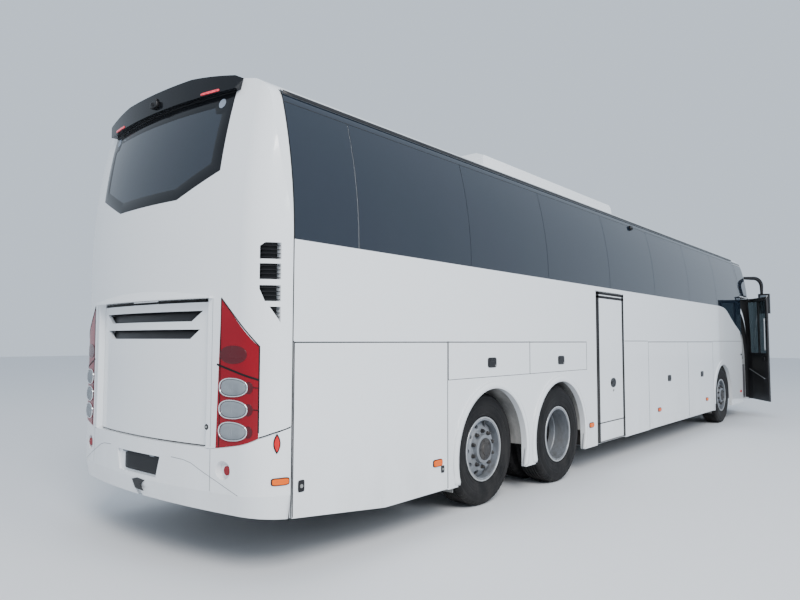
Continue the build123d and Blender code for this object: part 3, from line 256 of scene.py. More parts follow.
def add_piece(name, grids, body, material, smooth=True, hoops=()):
    """A closed mesh piece made of grids of points and riding on a body.

    A hoop is closed in both directions, any other grid by one face over its first row and one over its last.
    A grid whose enclosed volume, summed over its faces as place times area, is negative is turned round.
    """
    points, faces, start = [], [], 0
    for grid, hoop in [(grid, True) for grid in hoops] + [(grid, False) for grid in grids]:
        rows, cols = grid.shape[:2]
        flat = grid.reshape(-1, 3)
        quads = grid_faces(rows, cols, hoop)
        corners = flat[quads]
        area = np.cross(corners[:, 2] - corners[:, 0], corners[:, 3] - corners[:, 1])
        parts = [quads]
        if not hoop:
            parts += [np.arange(cols)[None], (rows - 1) * cols + np.arange(cols)[None, ::-1]]
        if ((corners.mean(1) - flat.mean(0)) * area).sum() < 0:
            parts = [part[:, ::-1] for part in parts]
        for part in parts:
            faces += (part + start).tolist()
        points.append(flat)
        start += len(flat)
    mesh = bpy.data.meshes.new(name)
    mesh.from_pydata(np.concatenate(points).tolist(), [], faces)
    mesh.polygons.foreach_set("use_smooth", np.full(len(mesh.polygons), smooth))
    mesh.materials.append(material)
    mesh.validate()
    piece = bpy.data.objects.new(name, mesh)
    bpy.context.collection.objects.link(piece)
    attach(piece, body)
    return piece


def reach(outline, centre, angles):
    """How far an outline lies from its centre in each direction: where the ray crosses the nearest edge."""
    start = np.array(outline, float) - centre
    edge = np.roll(start, -1, 0) - start
    ray = np.stack([np.cos(angles), np.sin(angles)], -1)
    cross = ray[:, None, 0] * edge[None, :, 1] - ray[:, None, 1] * edge[None, :, 0]
    cross = np.where(np.abs(cross) < 1e-9, 1e-9, cross)
    along = (start[None, :, 0] * ray[:, None, 1] - start[None, :, 1] * ray[:, None, 0]) / cross
    far = (start[None, :, 0] * edge[None, :, 1] - start[None, :, 1] * edge[None, :, 0]) / cross
    return np.where((along > -1e-6) & (along < 1 + 1e-6) & (far > 0), far, 1e9).min(1)


def between(outer, inner, centre, extra=120):
    """Directions through every corner of two outlines and evenly between, with the reach of each outline."""
    corners = np.concatenate([np.array(outer, float), np.array(inner, float)]) - centre
    even = np.linspace(-np.pi, np.pi, extra, endpoint=False)
    angles = np.concatenate([np.arctan2(corners[:, 1], corners[:, 0]), even])
    angles = np.unique(np.round(angles, 5))
    return angles, reach(outer, centre, angles), reach(inner, centre, angles)


def frame_band(surface, outer, inner, centre, thick):
    """A flat hoop between two outlines on a surface: out over its face, round its edges and back beneath."""
    angles, far, near = between(outer, inner, centre)
    share = np.array([1.0, 0.985, 0.5, 0.015, 0.0, 0.0, 0.5, 1.0])[:, None]
    lift = np.array([0.3, 1.0, 1.0, 1.0, 0.3, -1.0, -1.0, -1.0])[:, None] * thick
    r = near + (far - near) * share
    return surface(centre[0] + r * np.cos(angles), centre[1] + r * np.sin(angles), lift)


def pad(surface, u, v, wide, high, thick, power=4.0, around=40, dish=0.0):
    """A closed pad with a superellipse outline, |u| to the power plus |v| to the power equal to one.

    Rings run from the middle of its face, which may be dished, over a rounded edge to the middle of its foot.
    """
    t = np.linspace(0, 2 * np.pi, around, endpoint=False)
    size = (np.abs(np.cos(t)) ** power + np.abs(np.sin(t)) ** power) ** (-1 / power)
    share = np.array([0.001, 0.35, 0.7, 0.9, 0.97, 1.0, 1.0, 0.001])[:, None]
    lift = np.array([1 - dish, 1 - dish, 1 - dish * 0.8, 1.0, 0.93, 0.7, 0.0, 0.0])[:, None] * thick
    return surface(u + wide / 2 * share * np.cos(t) * size, v + high / 2 * share * np.sin(t) * size, lift)


window_rim = [(-0.405, 2.548), (0.405, 2.548), (0.821, 2.710), (0.845, 3.286), (-0.845, 3.286),
              (-0.821, 2.710)]
clear_half = [(0.375, 2.632), (0.725, 2.772), (0.748, 3.130), (0.690, 3.142), (0.668, 3.192)]
window_clear = clear_half + [(-y, z) for y, z in clear_half[::-1]]
border = frame_band(rear_at, window_rim, window_clear, (0.0, 2.92), 0.0006)
add_piece("rear_window_border", [], "coach", gloss_black, hoops=[border])
port_grey = coated("port_grey", grain, Paint=(0.20, 0.24, 0.30, 1), Fade=(0.28, 0.32, 0.38, 1), Gloss=0.25)
PORT_S, PORT_Z = 0.735, 3.215
ports = [pad(partial(on_rear, side=side), PORT_S, PORT_Z, 0.062, 0.070, 0.004, 2.0, dish=0.4)
         for side, _ in SIDES]
add_piece("rear_window_ports", ports, "coach", port_grey)

# High lamp strips and camera: a slim red lamp under each end of the rear spoiler, and a camera at its middle.
# The lamps are clear red covers over a row of diodes, bonded on; the camera is held by one bracket.
lit_red = bpy.data.materials.new("lit_red")
lit_red.use_nodes = True
lit_tree = lit_red.node_tree
diodes = wire(lit_tree, "TexCoord", {}).outputs["Object"]
diodes = wire(lit_tree, "TexVoronoi", {"Vector": diodes, "Scale": 60.0}).outputs["Distance"]
glow = wire(lit_tree, "MapRange", {"Value": diodes, "From Max": 0.7, "To Min": 1.0,
                                   "To Max": 0.35}).outputs[0]
cover = lit_tree.nodes["Principled BSDF"].inputs
for socket, dark, bright in (("Base Color", (0.25, 0.0, 0.01, 1), (1.0, 0.06, 0.10, 1)),
                             ("Emission Color", (0.05, 0.0, 0.0, 1), (1.0, 0.03, 0.06, 1))):
    lit_tree.links.new(mix_colour(lit_tree, glow, dark, bright), cover[socket])
for socket, value in (("Emission Strength", 0.8), ("Roughness", 0.12), ("Coat Weight", 0.8)):
    cover[socket].default_value = value
SPOILER_X = 0.085 - END
LAMP_Y, LAMP_Z, CAMERA_Z, BRACKET_Z = 0.640, 3.304, 3.345, 3.380


def on_spoiler(y, z, lift):
    """Points on the spoiler's upright bowed face."""
    y, z, lift = np.broadcast_arrays(np.asarray(y, float), z, lift)
    return np.stack([SPOILER_X + REAR_BOW - np.sqrt((REAR_BOW + lift) ** 2 - y ** 2), y, z], -1)


add_piece("high_lamp_strips", [pad(on_spoiler, side * LAMP_Y, LAMP_Z, 0.185, 0.016, 0.006, 8.0)
                               for side, _ in SIDES], "coach", lit_red)
add_piece("rear_camera", [pad(on_spoiler, 0.0, CAMERA_Z, 0.100, 0.050, 0.030, 5.0),
                          pad(on_spoiler, 0.0, CAMERA_Z, 0.030, 0.030, 0.036, 2.0, dish=0.2),
                          pad(on_spoiler, 0.0, BRACKET_Z, 0.040, 0.030, 0.014, 4.0)],
          "coach", black_trim)

# Tail lamp units: three clear egg-shaped lenses with upright flutes in each rear corner, and dark reflectors.
# They are pressed into the red lens moulding, and a black bead seals its joint and its edge.
lamp_red = coated("lamp_red", grain, Paint=(0.21, 0.001, 0.008, 1), Fade=(0.29, 0.002, 0.012, 1),
                  Gloss=0.14, Size=120.0, bump=0.02, Coat_Weight=0.15, Coat_Roughness=0.03,
                  Specular_IOR_Level=0.25)
finish_nodes(("tail_lamps",), lamp_red)
lamp_lens = coated("lamp_lens", grain, Paint=(0.16, 0.18, 0.20, 1), Fade=(0.34, 0.37, 0.40, 1), Gloss=0.12,
                   Size=60.0, bump=0.05, Coat_Weight=0.2, Specular_IOR_Level=0.35)
lamp_bright = coated("lamp_bright", grain, Paint=(0.72, 0.74, 0.76, 1), Fade=(0.80, 0.82, 0.84, 1),
                     Gloss=0.10, Metallic=0.9)
lamp_dark = coated("lamp_dark", grain, Paint=(0.07, 0.004, 0.008, 1), Fade=(0.10, 0.005, 0.010, 1),
                   Gloss=0.2, Size=700.0, bump=0.3, distance=0.0006, Coat_Weight=0.2,
                   Specular_IOR_Level=0.3)
# Near-black for rubber seals and beads, and for the painted shade in the flap joints
seal_and_shade_black = coated("seal_and_shade_black", grain, Paint=(0.008, 0.008, 0.009, 1), Fade=(0.02, 0.02, 0.02, 1),
                    Gloss=0.5, bump=0.1, distance=0.0004, Specular_IOR_Level=0.15)
LENS_S, LENS_HEIGHTS, REFLECTOR_S = 1.008, (1.246, 1.104, 0.962), 1.128


def egg(rings, around=64, power=2.4, point=0.12):
    """An egg-shaped outline filled by rings: a superellipse whose upright size shrinks to its outer end."""
    t = np.linspace(0, 2 * np.pi, around, endpoint=False)
    size = (np.abs(np.cos(t)) ** power + np.abs(np.sin(t)) ** power) ** (-1 / power)
    share = np.linspace(0.001, 1, rings)[:, None]
    u = np.cos(t) * size
    return share, share * u, share * np.sin(t) * size * (1 - point * (u + 1) / 2)


def lens_on(put, z):
    """A closed lens: an egg bulging with the fourth power of its radius, with cosine flutes in its middle."""
    share, u, v = egg(14)
    flute = 0.0016 * np.cos(u * 46) * (share < 0.9) * (np.abs(u) < 0.55)
    bulge = (0.003 + 0.011 * (1 - share ** 4) + flute) * (share < 1)
    return put(LENS_S + 0.108 * u, z + 0.058 * v, bulge)


def bezel_on(put, z):
    """A hoop round a lens: a small circle carried round the egg's outline."""
    _, u, v = egg(2)
    ring = np.linspace(0, 2 * np.pi, 10, endpoint=False)[:, None]
    wide, high = 1 + 0.045 * np.cos(ring), 1 + 0.08 * np.cos(ring)
    return put(LENS_S + 0.113 * u[1] * wide, z + 0.062 * v[1] * high, 0.004 + 0.006 * np.sin(ring))


def strip(surface, path, width, lift, steps=40, foot=0.0):
    """A closed flat strip along (u, v) points on a skin, drawn to a point at both ends."""
    path = np.array(path, float)
    run = np.concatenate([[0], np.cumsum(np.hypot(*np.diff(path, axis=0).T))])
    t = np.concatenate([np.linspace(0, run[-1], steps), run, [run[-1] * 0.0001, run[-1] * 0.9999]])
    t = np.unique(t)
    u, v = np.interp(t, run, path[:, 0]), np.interp(t, run, path[:, 1])
    du, dv = np.gradient(u), np.gradient(v)
    size = np.hypot(du, dv)
    full = np.ones(len(t))
    full[[0, -1]] = 0.001
    across = np.array([-0.5, -0.42, 0.42, 0.5, 0.0])[None, :] * width * full[:, None]
    up = np.array([0.4, 1.0, 1.0, 0.4, foot])[None, :] * lift
    return surface(u[:, None] - (dv / size)[:, None] * across, v[:, None] + (du / size)[:, None] * across, up)


lamp_seams = [([(0.864, 1.394), (1.196, 1.298)], 0.013), ([(0.893, 0.855), (0.893, 1.832)], 0.006),
              ([(0.893, 1.834), (1.198, 1.513), (1.198, 0.958)], 0.009),
              ([(1.150, 1.250), (1.195, 1.246)], 0.005), ([(1.150, 1.108), (1.195, 1.104)], 0.005)]
for side, word in SIDES:
    put = partial(on_rear, side=side)
    reflectors = [pad(put, REFLECTOR_S, z, 0.062, 0.078, 0.003, 2.0, dish=0.6) for z in LENS_HEIGHTS]
    reflectors.append(pad(put, 1.002, 1.459, 0.222, 0.118, 0.003, 2.2))
    add_piece("tail_lamp_lenses_" + word, [lens_on(put, z) for z in LENS_HEIGHTS], "coach", lamp_lens)
    add_piece("tail_lamp_bezels_" + word, [], "coach", lamp_bright,
              hoops=[bezel_on(put, z) for z in LENS_HEIGHTS])
    add_piece("tail_reflectors_" + word, reflectors, "coach", lamp_dark)
    add_piece("tail_lamp_seals_" + word, [strip(put, path, width, 0.002) for path, width in lamp_seams],
              "coach", seal_and_shade_black)

# Rear body joints: the black bead where the end moulding meets the side, the edge of the engine hatch, and
# painted shade along the bumper's creases. The bead is extruded rubber; the creases are pressed into the
# moulding, and their shade is painted on as thin grey lines.
# Grey for the bumper's fine joints, and for the painted shade in its creases
joint_and_crease_shade_grey = coated("joint_and_crease_shade_grey", dust, Paint=(0.16, 0.18, 0.20, 1), Dust=(0.10, 0.09, 0.08, 1), Amount=0.6,
                    Gloss=0.5)
JOINT_X = -6.5725
hatch_edge = [(0.817, 0.852), (0.817, 1.834)]
crease = [(1.060, 0.555), (0.880, 0.630), (0.715, 0.694), (0.640, 0.726), (0.560, 0.742), (0.430, 0.748)]


def on_side(x, z, lift, side=-1):
    """Points on the side skin: upright to 2.2 m, then on an arc that leans in by 135 mm in the next metre."""
    x, z, lift, side = np.broadcast_arrays(np.asarray(x, float), z, lift, side)
    arc = (1.0 + 0.135 ** 2) / 0.27
    tilt = np.maximum(z - 2.2, 0) / arc
    level = np.sqrt(1 - tilt ** 2)
    return np.stack([x, side * (HALF_WIDTH - arc + arc * level + lift * level), z + lift * tilt], -1)


add_piece("rear_joint_beads", [strip(partial(on_side, side=side), [(JOINT_X, 0.40), (JOINT_X, 2.2),
                                                                   (JOINT_X, 3.285)], 0.009, 0.0012, 80)
                               for side, _ in SIDES], "coach", seal_and_shade_black)
# Thin grey lines: the hatch's edge joint, and painted shade along each bumper crease
add_piece("hatch_joint_and_crease_shade_lines", [strip(partial(on_rear, side=side), path, width, 0.0004) for side, _ in SIDES
                             for path, width in ((hatch_edge, 0.0035), (crease, 0.004))],
          "coach", joint_and_crease_shade_grey)

# Plate panel and hatch lock: a blank black plate in its recess under two small lamps, and a round key lock.
# The plate is pressed sheet held by two rails; the lock barrel is turned metal in a black escutcheon.
plate_black = coated("plate_black", grain, Paint=(0.010, 0.011, 0.013, 1), Fade=(0.02, 0.02, 0.022, 1),
                     Gloss=0.35, Size=90.0, bump=0.05, Specular_IOR_Level=0.15)
metal_worn = coated("metal_worn", dust, Paint=(0.42, 0.43, 0.42, 1), Dust=(0.14, 0.13, 0.11, 1), Reach=2.5,
                    Amount=0.7, Gloss=0.35, Grain=20.0, bump=0.05, Metallic=0.8)
RECESS_X, PLATE_Y, PLATE_Z = -6.9252, -0.062, 0.664
LOCK_S, LOCK_Z = 0.780, 0.977


def on_recess(y, z, lift):
    """Points on the flat floor of the plate recess, 25 mm in from the rearmost line."""
    y, z, lift = np.broadcast_arrays(np.asarray(y, float), z, lift)
    return np.stack([RECESS_X - lift, y, z], -1)


add_piece("plate_panel", [pad(on_recess, PLATE_Y, PLATE_Z, 0.505, 0.130, 0.0120, 14.0, 56),
                          pad(on_recess, PLATE_Y, PLATE_Z, 0.475, 0.104, 0.0132, 14.0, 56)],
          "coach", plate_black)
add_piece("plate_lamps", [pad(on_recess, y, 0.727, 0.070, 0.018, 0.012, 4.0) for y in (-0.19, 0.19)],
          "coach", lamp_lens)
add_piece("hatch_lock", [pad(on_rear, LOCK_S, LOCK_Z, 0.034, 0.038, 0.003, 2.0)],
          "coach", plate_black)
add_piece("hatch_lock_barrel", [pad(on_rear, LOCK_S, LOCK_Z, 0.018, 0.018, 0.006, 2.0, 24, 0.3)],
          "coach", metal_worn)

# Towing hook cover and bumper joints: a black arrow-shaped insert below the plate, and the corner mouldings'
# seams. The insert is clipped into its hole; the bumper's three mouldings meet at fine joints.


def plate_on(surface, outline, thick, extra=60):
    """A closed flat plate that fills an outline around its centre: rings run out from the centre and back."""
    outline = np.array(outline, float)
    centre = outline.mean(0)
    angles, far, _ = between(outline, outline, centre, extra)
    share = np.array([0.001, 0.4, 0.75, 0.93, 0.985, 1.0, 1.0, 0.001])[:, None]
    lift = np.array([1.0, 1.0, 1.0, 1.0, 0.9, 0.5, 0.0, 0.0])[:, None] * thick
    return surface(centre[0] + share * far * np.cos(angles), centre[1] + share * far * np.sin(angles), lift)


hook_outline = [(0.052, 0.538), (-0.020, 0.556), (-0.122, 0.548), (-0.068, 0.514), (-0.114, 0.472),
                (0.004, 0.480)]
corner_seam = [(0.818, 0.560), (0.816, 0.835)]
top_seam = [(1.200, 0.9285), (1.2468, 0.9423), (1.2908, 0.9567), (1.3426, 0.9700), (1.4100, 0.9875)]
add_piece("towing_hook_cover", [plate_on(rear_at, hook_outline, 0.004)], "coach", black_trim)
add_piece("bumper_joints", [strip(partial(on_rear, side=side), corner_seam, 0.0035, 0.0004)
                            for side, _ in SIDES], "coach", joint_and_crease_shade_grey)
add_piece("bumper_top_joints", [strip(partial(on_rear, side=side), top_seam, 0.008, 0.0006)
                                for side, _ in SIDES], "coach", seal_and_shade_black)

# Hatch header: a black strip of painted shadow under the spoiler, and the rubber seal along the top of the
# engine hatch. The seal is extruded, pushed on to the hatch's edge and swings with it.
SEAL_DEPTH, HEADER_X = 0.0435, -6.9065


def in_hatch(s, z, lift, side):
    """Points on the face of the hatch, which lies SEAL_DEPTH in from the rear skin."""
    return on_rear(s, z, lift - SEAL_DEPTH, side)


def on_header(y, z, lift):
    """Points on the flat upright face at the middle of the hatch's top edge."""
    return np.stack(np.broadcast_arrays(HEADER_X - lift, y, z), -1)


# A black strip painted as the shadow under the spoiler's edge
add_piece("spoiler_shadow_strip", [strip(rear_at, [(-0.850, 3.293), (0.850, 3.293)], 0.022, 0.0015, 60)],
          "coach", black_trim)
header = [strip(partial(in_hatch, side=side), [(0.174, 1.8205), (0.714, 1.8205)], 0.025, 0.0015, 40, -0.5)
          for side, _ in SIDES]
header.append(pad(on_header, 0.0, 1.8220, 0.350, 0.0170, 0.0006, 8.0))
add_piece("hatch_header_seal", header, "engine_hatch_body", seal_and_shade_black)

# Side lamps and reflectors: amber markers along both sides, and a pointed red reflector and an amber one at
# each rear corner. Each is a clear lens welded to a black base and pushed into the panel.
lamp_amber = coated("lamp_amber", grain, Paint=(0.72, 0.085, 0.0, 1), Fade=(1.0, 0.24, 0.005, 1),
                    Gloss=0.08, Size=160.0, bump=0.15, distance=0.0005, Coat_Weight=0.1,
                    Specular_IOR_Level=0.25)
marker_red = coated("marker_red", grain, Paint=(0.55, 0.01, 0.012, 1), Fade=(0.70, 0.02, 0.02, 1),
                    Gloss=0.12, Size=500.0, bump=0.2, distance=0.0005, Coat_Weight=0.15,
                    Specular_IOR_Level=0.25)
side_markers = [("engine_flap", -4.978, 0.532), ("coach", -1.880, 0.546), ("luggage_flap_rear", 0.552, 0.538),
                ("luggage_flap_front", 3.072, 0.524)]
EYE_S, EYE_Z, LOW_S, LOW_Z = 1.3165, 0.888, 1.3431, 0.6455


def eye_outline(half, high):
    """A pointed eye standing upright: each side is a parabola, half wide at the middle and high from it."""
    rise = np.linspace(-1, 1, 15)
    outer = [(EYE_S + half * (1 - t * t), EYE_Z + high * t) for t in rise]
    return outer + [(EYE_S - half * (1 - t * t), EYE_Z + high * t) for t in rise[-2:0:-1]]


for side, word in SIDES:
    put = partial(on_side, side=side)
    for number, (carrier, x, z) in enumerate(side_markers):
        body = "coach" if carrier == "coach" else carrier + "_" + word + "_body"
        label = "_" + word + "_" + str(number)
        add_piece("marker_base" + label, [pad(put, x, z, 0.130, 0.062, 0.006, 5.0)], body, seal_and_shade_black)
        add_piece("marker_lens" + label, [pad(put, x, z, 0.116, 0.050, 0.014, 5.0)], body, lamp_amber)
    low_red = pad(put, 5.580, 0.521, 0.100, 0.048, 0.010, 5.0)
    put = partial(on_rear, side=side)
    add_piece("rear_reflector_bases_" + word, [plate_on(put, eye_outline(0.024, 0.066), 0.004),
                                               pad(put, LOW_S, LOW_Z, 0.126, 0.050, 0.005, 5.0)],
              "coach", seal_and_shade_black)
    add_piece("rear_reflectors_" + word, [plate_on(put, eye_outline(0.017, 0.052), 0.0075), low_red],
              "coach", marker_red)
    add_piece("rear_corner_marker_" + word, [pad(put, LOW_S, LOW_Z, 0.110, 0.038, 0.012, 5.0)],
              "coach", lamp_amber)

# Cantrail: the black rain channel under the white roof edge, a thin dark joint below it, and a small camera
# at the middle of each side. The channel is extruded and bonded along the top of the side glass.
CHANNEL_ENDS, CAMERA_X = (-6.560, 5.760), -0.160
channel_lines = ((3.272, 0.030, 0.003), (3.197, 0.005, 0.001))
for side, word in SIDES:
    put = partial(on_side, side=side)
    add_piece("rain_channel_" + word, [strip(put, [(x, z) for x in CHANNEL_ENDS], width, lift, 120)
                                       for z, width, lift in channel_lines],
              "coach", black_trim)
    add_piece("side_camera_" + word, [pad(put, CAMERA_X, 3.172, 0.090, 0.060, 0.030, 4.0),
                                      pad(put, CAMERA_X, 3.160, 0.030, 0.028, 0.036, 2.0, dish=0.3)],
              "coach", black_trim)

# Flap latches: black recessed paddle handles with a key barrel, and small square locks on the engine flap.
# The escutcheon is moulded and screwed from behind; the paddle and the barrel are cast.
latches = [("tag_arch_flap", -4.113, 1.348), ("drive_arch_flap", -2.668, 1.340),
           ("luggage_flap_rear", 1.040, 0.983), ("luggage_flap_front", 2.802, 0.980)]
key_locks = [(-4.908, 0.472, 0.045, 0.060, 0.022), (-6.487, 0.595, 0.055, 0.078, 0.026)]
for side, word in SIDES:
    put = partial(on_side, side=side)
    for carrier, x, z in latches:
        label = carrier + "_" + word
        add_piece("latch_" + label, [pad(put, x, z, 0.150, 0.095, 0.007, 6.0),
                                     pad(put, x, z - 0.004, 0.118, 0.060, 0.0085, 5.0, dish=0.75),
                                     pad(put, x, z + 0.020, 0.100, 0.022, 0.011, 4.0)],
                  label + "_body", black_trim)
        barrel = pad(put, x + 0.052, z - 0.028, 0.016, 0.016, 0.010, 2.0, 20, 0.3)
        add_piece("latch_barrel_" + label, [barrel], label + "_body", metal_worn)
    add_piece("key_locks_" + word, [pad(put, x, z, wide, high, 0.005, 6.0)
                                    for x, z, wide, high, _ in key_locks],
              "engine_flap_" + word + "_body", black_trim)
    add_piece("key_barrels_" + word, [pad(put, x, z, size, size, 0.008, 2.0, 20, 0.3)
                                      for x, z, _, _, size in key_locks],
              "engine_flap_" + word + "_body", metal_worn)

# Middle door: rubber finger seals down both edges, a double header seal, a lower joint and a pull handle.
# The seals are extruded rubber pushed on to the edges; the handle is a moulded cup with a bar across.
seal_rubber = coated("seal_rubber", dust, Paint=(0.014, 0.014, 0.015, 1), Dust=(0.16, 0.15, 0.14, 1),
                     Reach=2.0, Amount=0.4, Gloss=0.6, Grain=10.0, bump=0.08, Specular_IOR_Level=0.15)
upright_seals = ((-1.656, 0.092), (-0.835, 0.066))
level_seals = ((2.151, 0.034), (2.104, 0.034), (0.540, 0.012), (0.310, 0.012))
door_seals = [strip(on_side, [(x, 0.305), (x, 2.165)], width, 0.004, 60) for x, width in upright_seals]
door_seals += [strip(on_side, [(-1.700, z), (-0.802, z)], width, 0.004) for z, width in level_seals]
add_piece("middle_door_seals", door_seals, "mid_door_leaf", seal_rubber)
PULL_X, PULL_Z, KEY_Z = -1.187, 1.020, 0.922
add_piece("middle_door_handle", [pad(on_side, PULL_X, PULL_Z, 0.165, 0.120, 0.006, 2.4, 48, 0.9),
                                 pad(on_side, PULL_X, PULL_Z, 0.140, 0.034, 0.012, 4.0)],
          "mid_door_leaf", black_trim)
add_piece("middle_door_key", [pad(on_side, PULL_X, KEY_Z, 0.030, 0.030, 0.006, 2.0, 24, 0.3)],
          "mid_door_leaf", metal_worn)

# Wheels: radial coach tyres with five tread grooves and shoulder sipes, bright rim flanges, nuts, hub caps
# and valves. The tyres are moulded rubber, dusty on the sidewall; the wheels are pressed steel, bolted on.
tyre_rubber = coated("tyre_rubber", dust, Paint=(0.012, 0.012, 0.013, 1), Dust=(0.13, 0.12, 0.11, 1),
                     Reach=1.4, Amount=0.18, Gloss=0.62, Grain=9.0, bump=0.15, Specular_IOR_Level=0.1)
wheel_paint = coated("wheel_paint", dust, Paint=(0.27, 0.29, 0.32, 1), Dust=(0.10, 0.09, 0.08, 1),
                     Reach=1.4, Amount=0.9, Gloss=0.34, Grain=12.0, bump=0.06, Metallic=0.5)
hub_dark = coated("hub_dark", dust, Paint=(0.022, 0.022, 0.025, 1), Dust=(0.09, 0.08, 0.07, 1), Reach=1.6,
                  Amount=0.9, Gloss=0.5, Grain=18.0, bump=0.1, Metallic=0.3)
flange_bright = coated("flange_bright", dust, Paint=(0.62, 0.63, 0.64, 1), Dust=(0.30, 0.28, 0.26, 1),
                       Reach=1.2, Amount=0.6, Gloss=0.28, Grain=16.0, bump=0.04, Metallic=0.8)
finish_nodes([name for name in nodes if "_rim" in name], wheel_paint)
WHEEL_Z, TYRE_COLUMNS, VALVE_R, VALVE_TURN = 0.525, 180, 0.262, 1.15
FRONT_X, DRIVE_X, TAG_X = 4.210, -2.680, -4.080
groove = [(at + step, r) for at in (-0.072, -0.036, 0.0, 0.036, 0.072)
          for step, r in ((-0.0062, 0.5249), (-0.0045, 0.512), (0.0045, 0.512), (0.0062, 0.5249))]
flank = [(0.118, 0.2863), (0.118, 0.305), (0.130, 0.318), (0.1345, 0.330), (0.1365, 0.342), (0.1350, 0.345),
         (0.1405, 0.372), (0.1432, 0.400), (0.1418, 0.403), (0.1450, 0.420), (0.1425, 0.445), (0.1372, 0.466),
         (0.1352, 0.469), (0.1335, 0.490), (0.127, 0.5045), (0.114, 0.5170), (0.100, 0.5243), (0.090, 0.5249)]
inner_wall = [(0.096, 0.2863), (0.118, 0.345), (0.123, 0.420), (0.108, 0.492)]
tyre_profile = np.array([(-o, r) for o, r in flank] + groove + flank[::-1] + inner_wall
                        + [(-o, r) for o, r in inner_wall[::-1]])


def turned(x, y, side, out, radius, angles):
    """Points turned about an axle from distances outward and radii, on a grid with the angles."""
    out, radius, angles = np.broadcast_arrays(out, radius, angles)
    return np.stack([x + radius * np.cos(angles), y + side * out, WHEEL_Z + radius * np.sin(angles)], -1)


def tyre_grid(x, y, side):
    """A tyre as a hoop: its profile turned about the axle, with 4 mm sipes in every third shoulder column."""
    around = np.linspace(0, 2 * np.pi, TYRE_COLUMNS, endpoint=False)
    out, radius = tyre_profile[:, :1], tyre_profile[:, 1:]
    shoulder = (np.abs(out) > 0.085) & (radius > 0.498)
    sipe = 0.004 * shoulder * (np.arange(TYRE_COLUMNS) % 3 == 0)
    return turned(x, y, side, out, radius - sipe, around)


def knob(x, y, side, out, radius, angle, size, tall, sides=6):
    """A closed nut or bolt head on a wheel face: a small prism with a chamfered end."""
    t = np.arange(sides) * 2 * np.pi / sides + angle
    share = np.array([0.001, 1.0, 1.0, 0.85, 0.001])[:, None]
    height = out + np.array([0.0, 0.0, 0.8, 1.0, 1.0])[:, None] * tall
    u = radius * math.cos(angle) + size * share * np.cos(t)
    v = radius * math.sin(angle) + size * share * np.sin(t)
    return np.stack([x + u, np.broadcast_to(y + side * height, u.shape), WHEEL_Z + v], -1)


def ring_of(profile, x, y, side, steps=72):
    """A ring or disc turned about the axle from (distance outward, radius) points."""
    profile = np.array(profile, float)
    around = np.linspace(0, 2 * np.pi, steps, endpoint=False)
    return turned(x, y, side, profile[:, :1], profile[:, 1:], around)


def valve_stem(x, y, side, out):
    """A closed valve stem that stands out from the rim: its profile turned about its own line."""
    stem = np.array([(-0.010, 0.001), (-0.010, 0.006), (0.030, 0.006), (0.034, 0.004), (0.036, 0.001)])
    t = np.linspace(0, 2 * np.pi, 14, endpoint=False)
    along, r = np.broadcast_to(y + side * (out + stem[:, :1]), (5, 14)), stem[:, 1:]
    return np.stack([x + VALVE_R * math.cos(VALVE_TURN) + r * np.cos(t), along,
                     WHEEL_Z + VALVE_R * math.sin(VALVE_TURN) + r * np.sin(t)], -1)


# A wheel's face: the nuts' seat, their circle, the cap's bolt circle, the valve's foot and the cap's profile
flat_face = (0.104, 0.168, 0.080, 0.040, [(0.142, 0.001), (0.142, 0.104), (0.146, 0.104), (0.148, 0.098),
                                          (0.148, 0.060), (0.156, 0.052), (0.158, 0.001)])
deep_face = (-0.152, 0.128, 0.064, -0.090, [(-0.060, 0.001), (-0.060, 0.080), (-0.050, 0.084),
                                            (-0.040, 0.074), (-0.036, 0.045), (-0.022, 0.038),
                                            (-0.020, 0.001)])
stations = [("front", "front_tyre_", "front_wheel_", FRONT_X, (1.105,), flat_face),
            ("drive", "drive_tyres_", "drive_wheels_", DRIVE_X, (1.105, 0.775), deep_face),
            ("tag", "tag_tyre_", "tag_wheel_", TAG_X, (1.030,), flat_face)]
flange = [(0.1265, 0.2880), (0.1290, 0.2880), (0.1305, 0.2960), (0.1290, 0.3030), (0.1265, 0.3030)]
nut_turns = np.arange(10) * math.pi / 5 + 0.31
for side, word in SIDES:
    for label, node, wheel, x, centres, (seat, nut_r, bolt_r, valve_foot, cap) in stations:
        body, y = wheel + word, side * centres[0]
        tyres = add_piece(label + "_treaded_tyres_" + word, [], body, tyre_rubber, smooth=False,
                          hoops=[tyre_grid(x, side * centre, side) for centre in centres])
        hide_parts(node + word)
        add_piece(label + "_rim_flange_" + word, [], body, flange_bright,
                  hoops=[ring_of(flange, x, y, side)])
        nuts = [knob(x, y, side, seat + step, nut_r, turn, size, tall, sides) for turn in nut_turns
                for step, size, tall, sides in ((0.0, 0.0215, 0.006, 16), (0.006, 0.0185, 0.022, 6),
                                                (0.026, 0.0100, 0.010, 12))]
        add_piece(label + "_wheel_nuts_" + word, nuts, body, hub_dark, smooth=False)
        bolts = [knob(x, y, side, cap[4][0], bolt_r, turn + 0.31, 0.008, 0.006) for turn in nut_turns[::2]]
        add_piece(label + "_hub_cap_" + word, [ring_of(cap, x, y, side, 64)] + bolts, body, hub_dark,
                  smooth=False)
        add_piece(label + "_valve_" + word, [valve_stem(x, y, side, valve_foot)], body, metal_worn)

# Flap gap shade and arch lips: dark strips of painted shade in the joints round every flap, and a rounded lip
# on each rear arch. The strips ride on the flap edges; the lips are moulded and bonded round the openings.
FLAP_TOP, ENGINE_FLAP_FOOT = 1.550, 0.403
flap_edges = {"engine_flap": (-6.564, -4.824, 0.300), "tag_arch_flap": (-4.824, -3.383, 1.213),
              "drive_arch_flap": (-3.383, -1.984, 1.213), "luggage_flap_rear": (0.124, 2.015, 0.296),
              "luggage_flap_front": (2.015, 3.530, 0.296)}
ARCH_R, ARCH_Z, LIP_WIDE = 0.600, 0.505, 0.0740


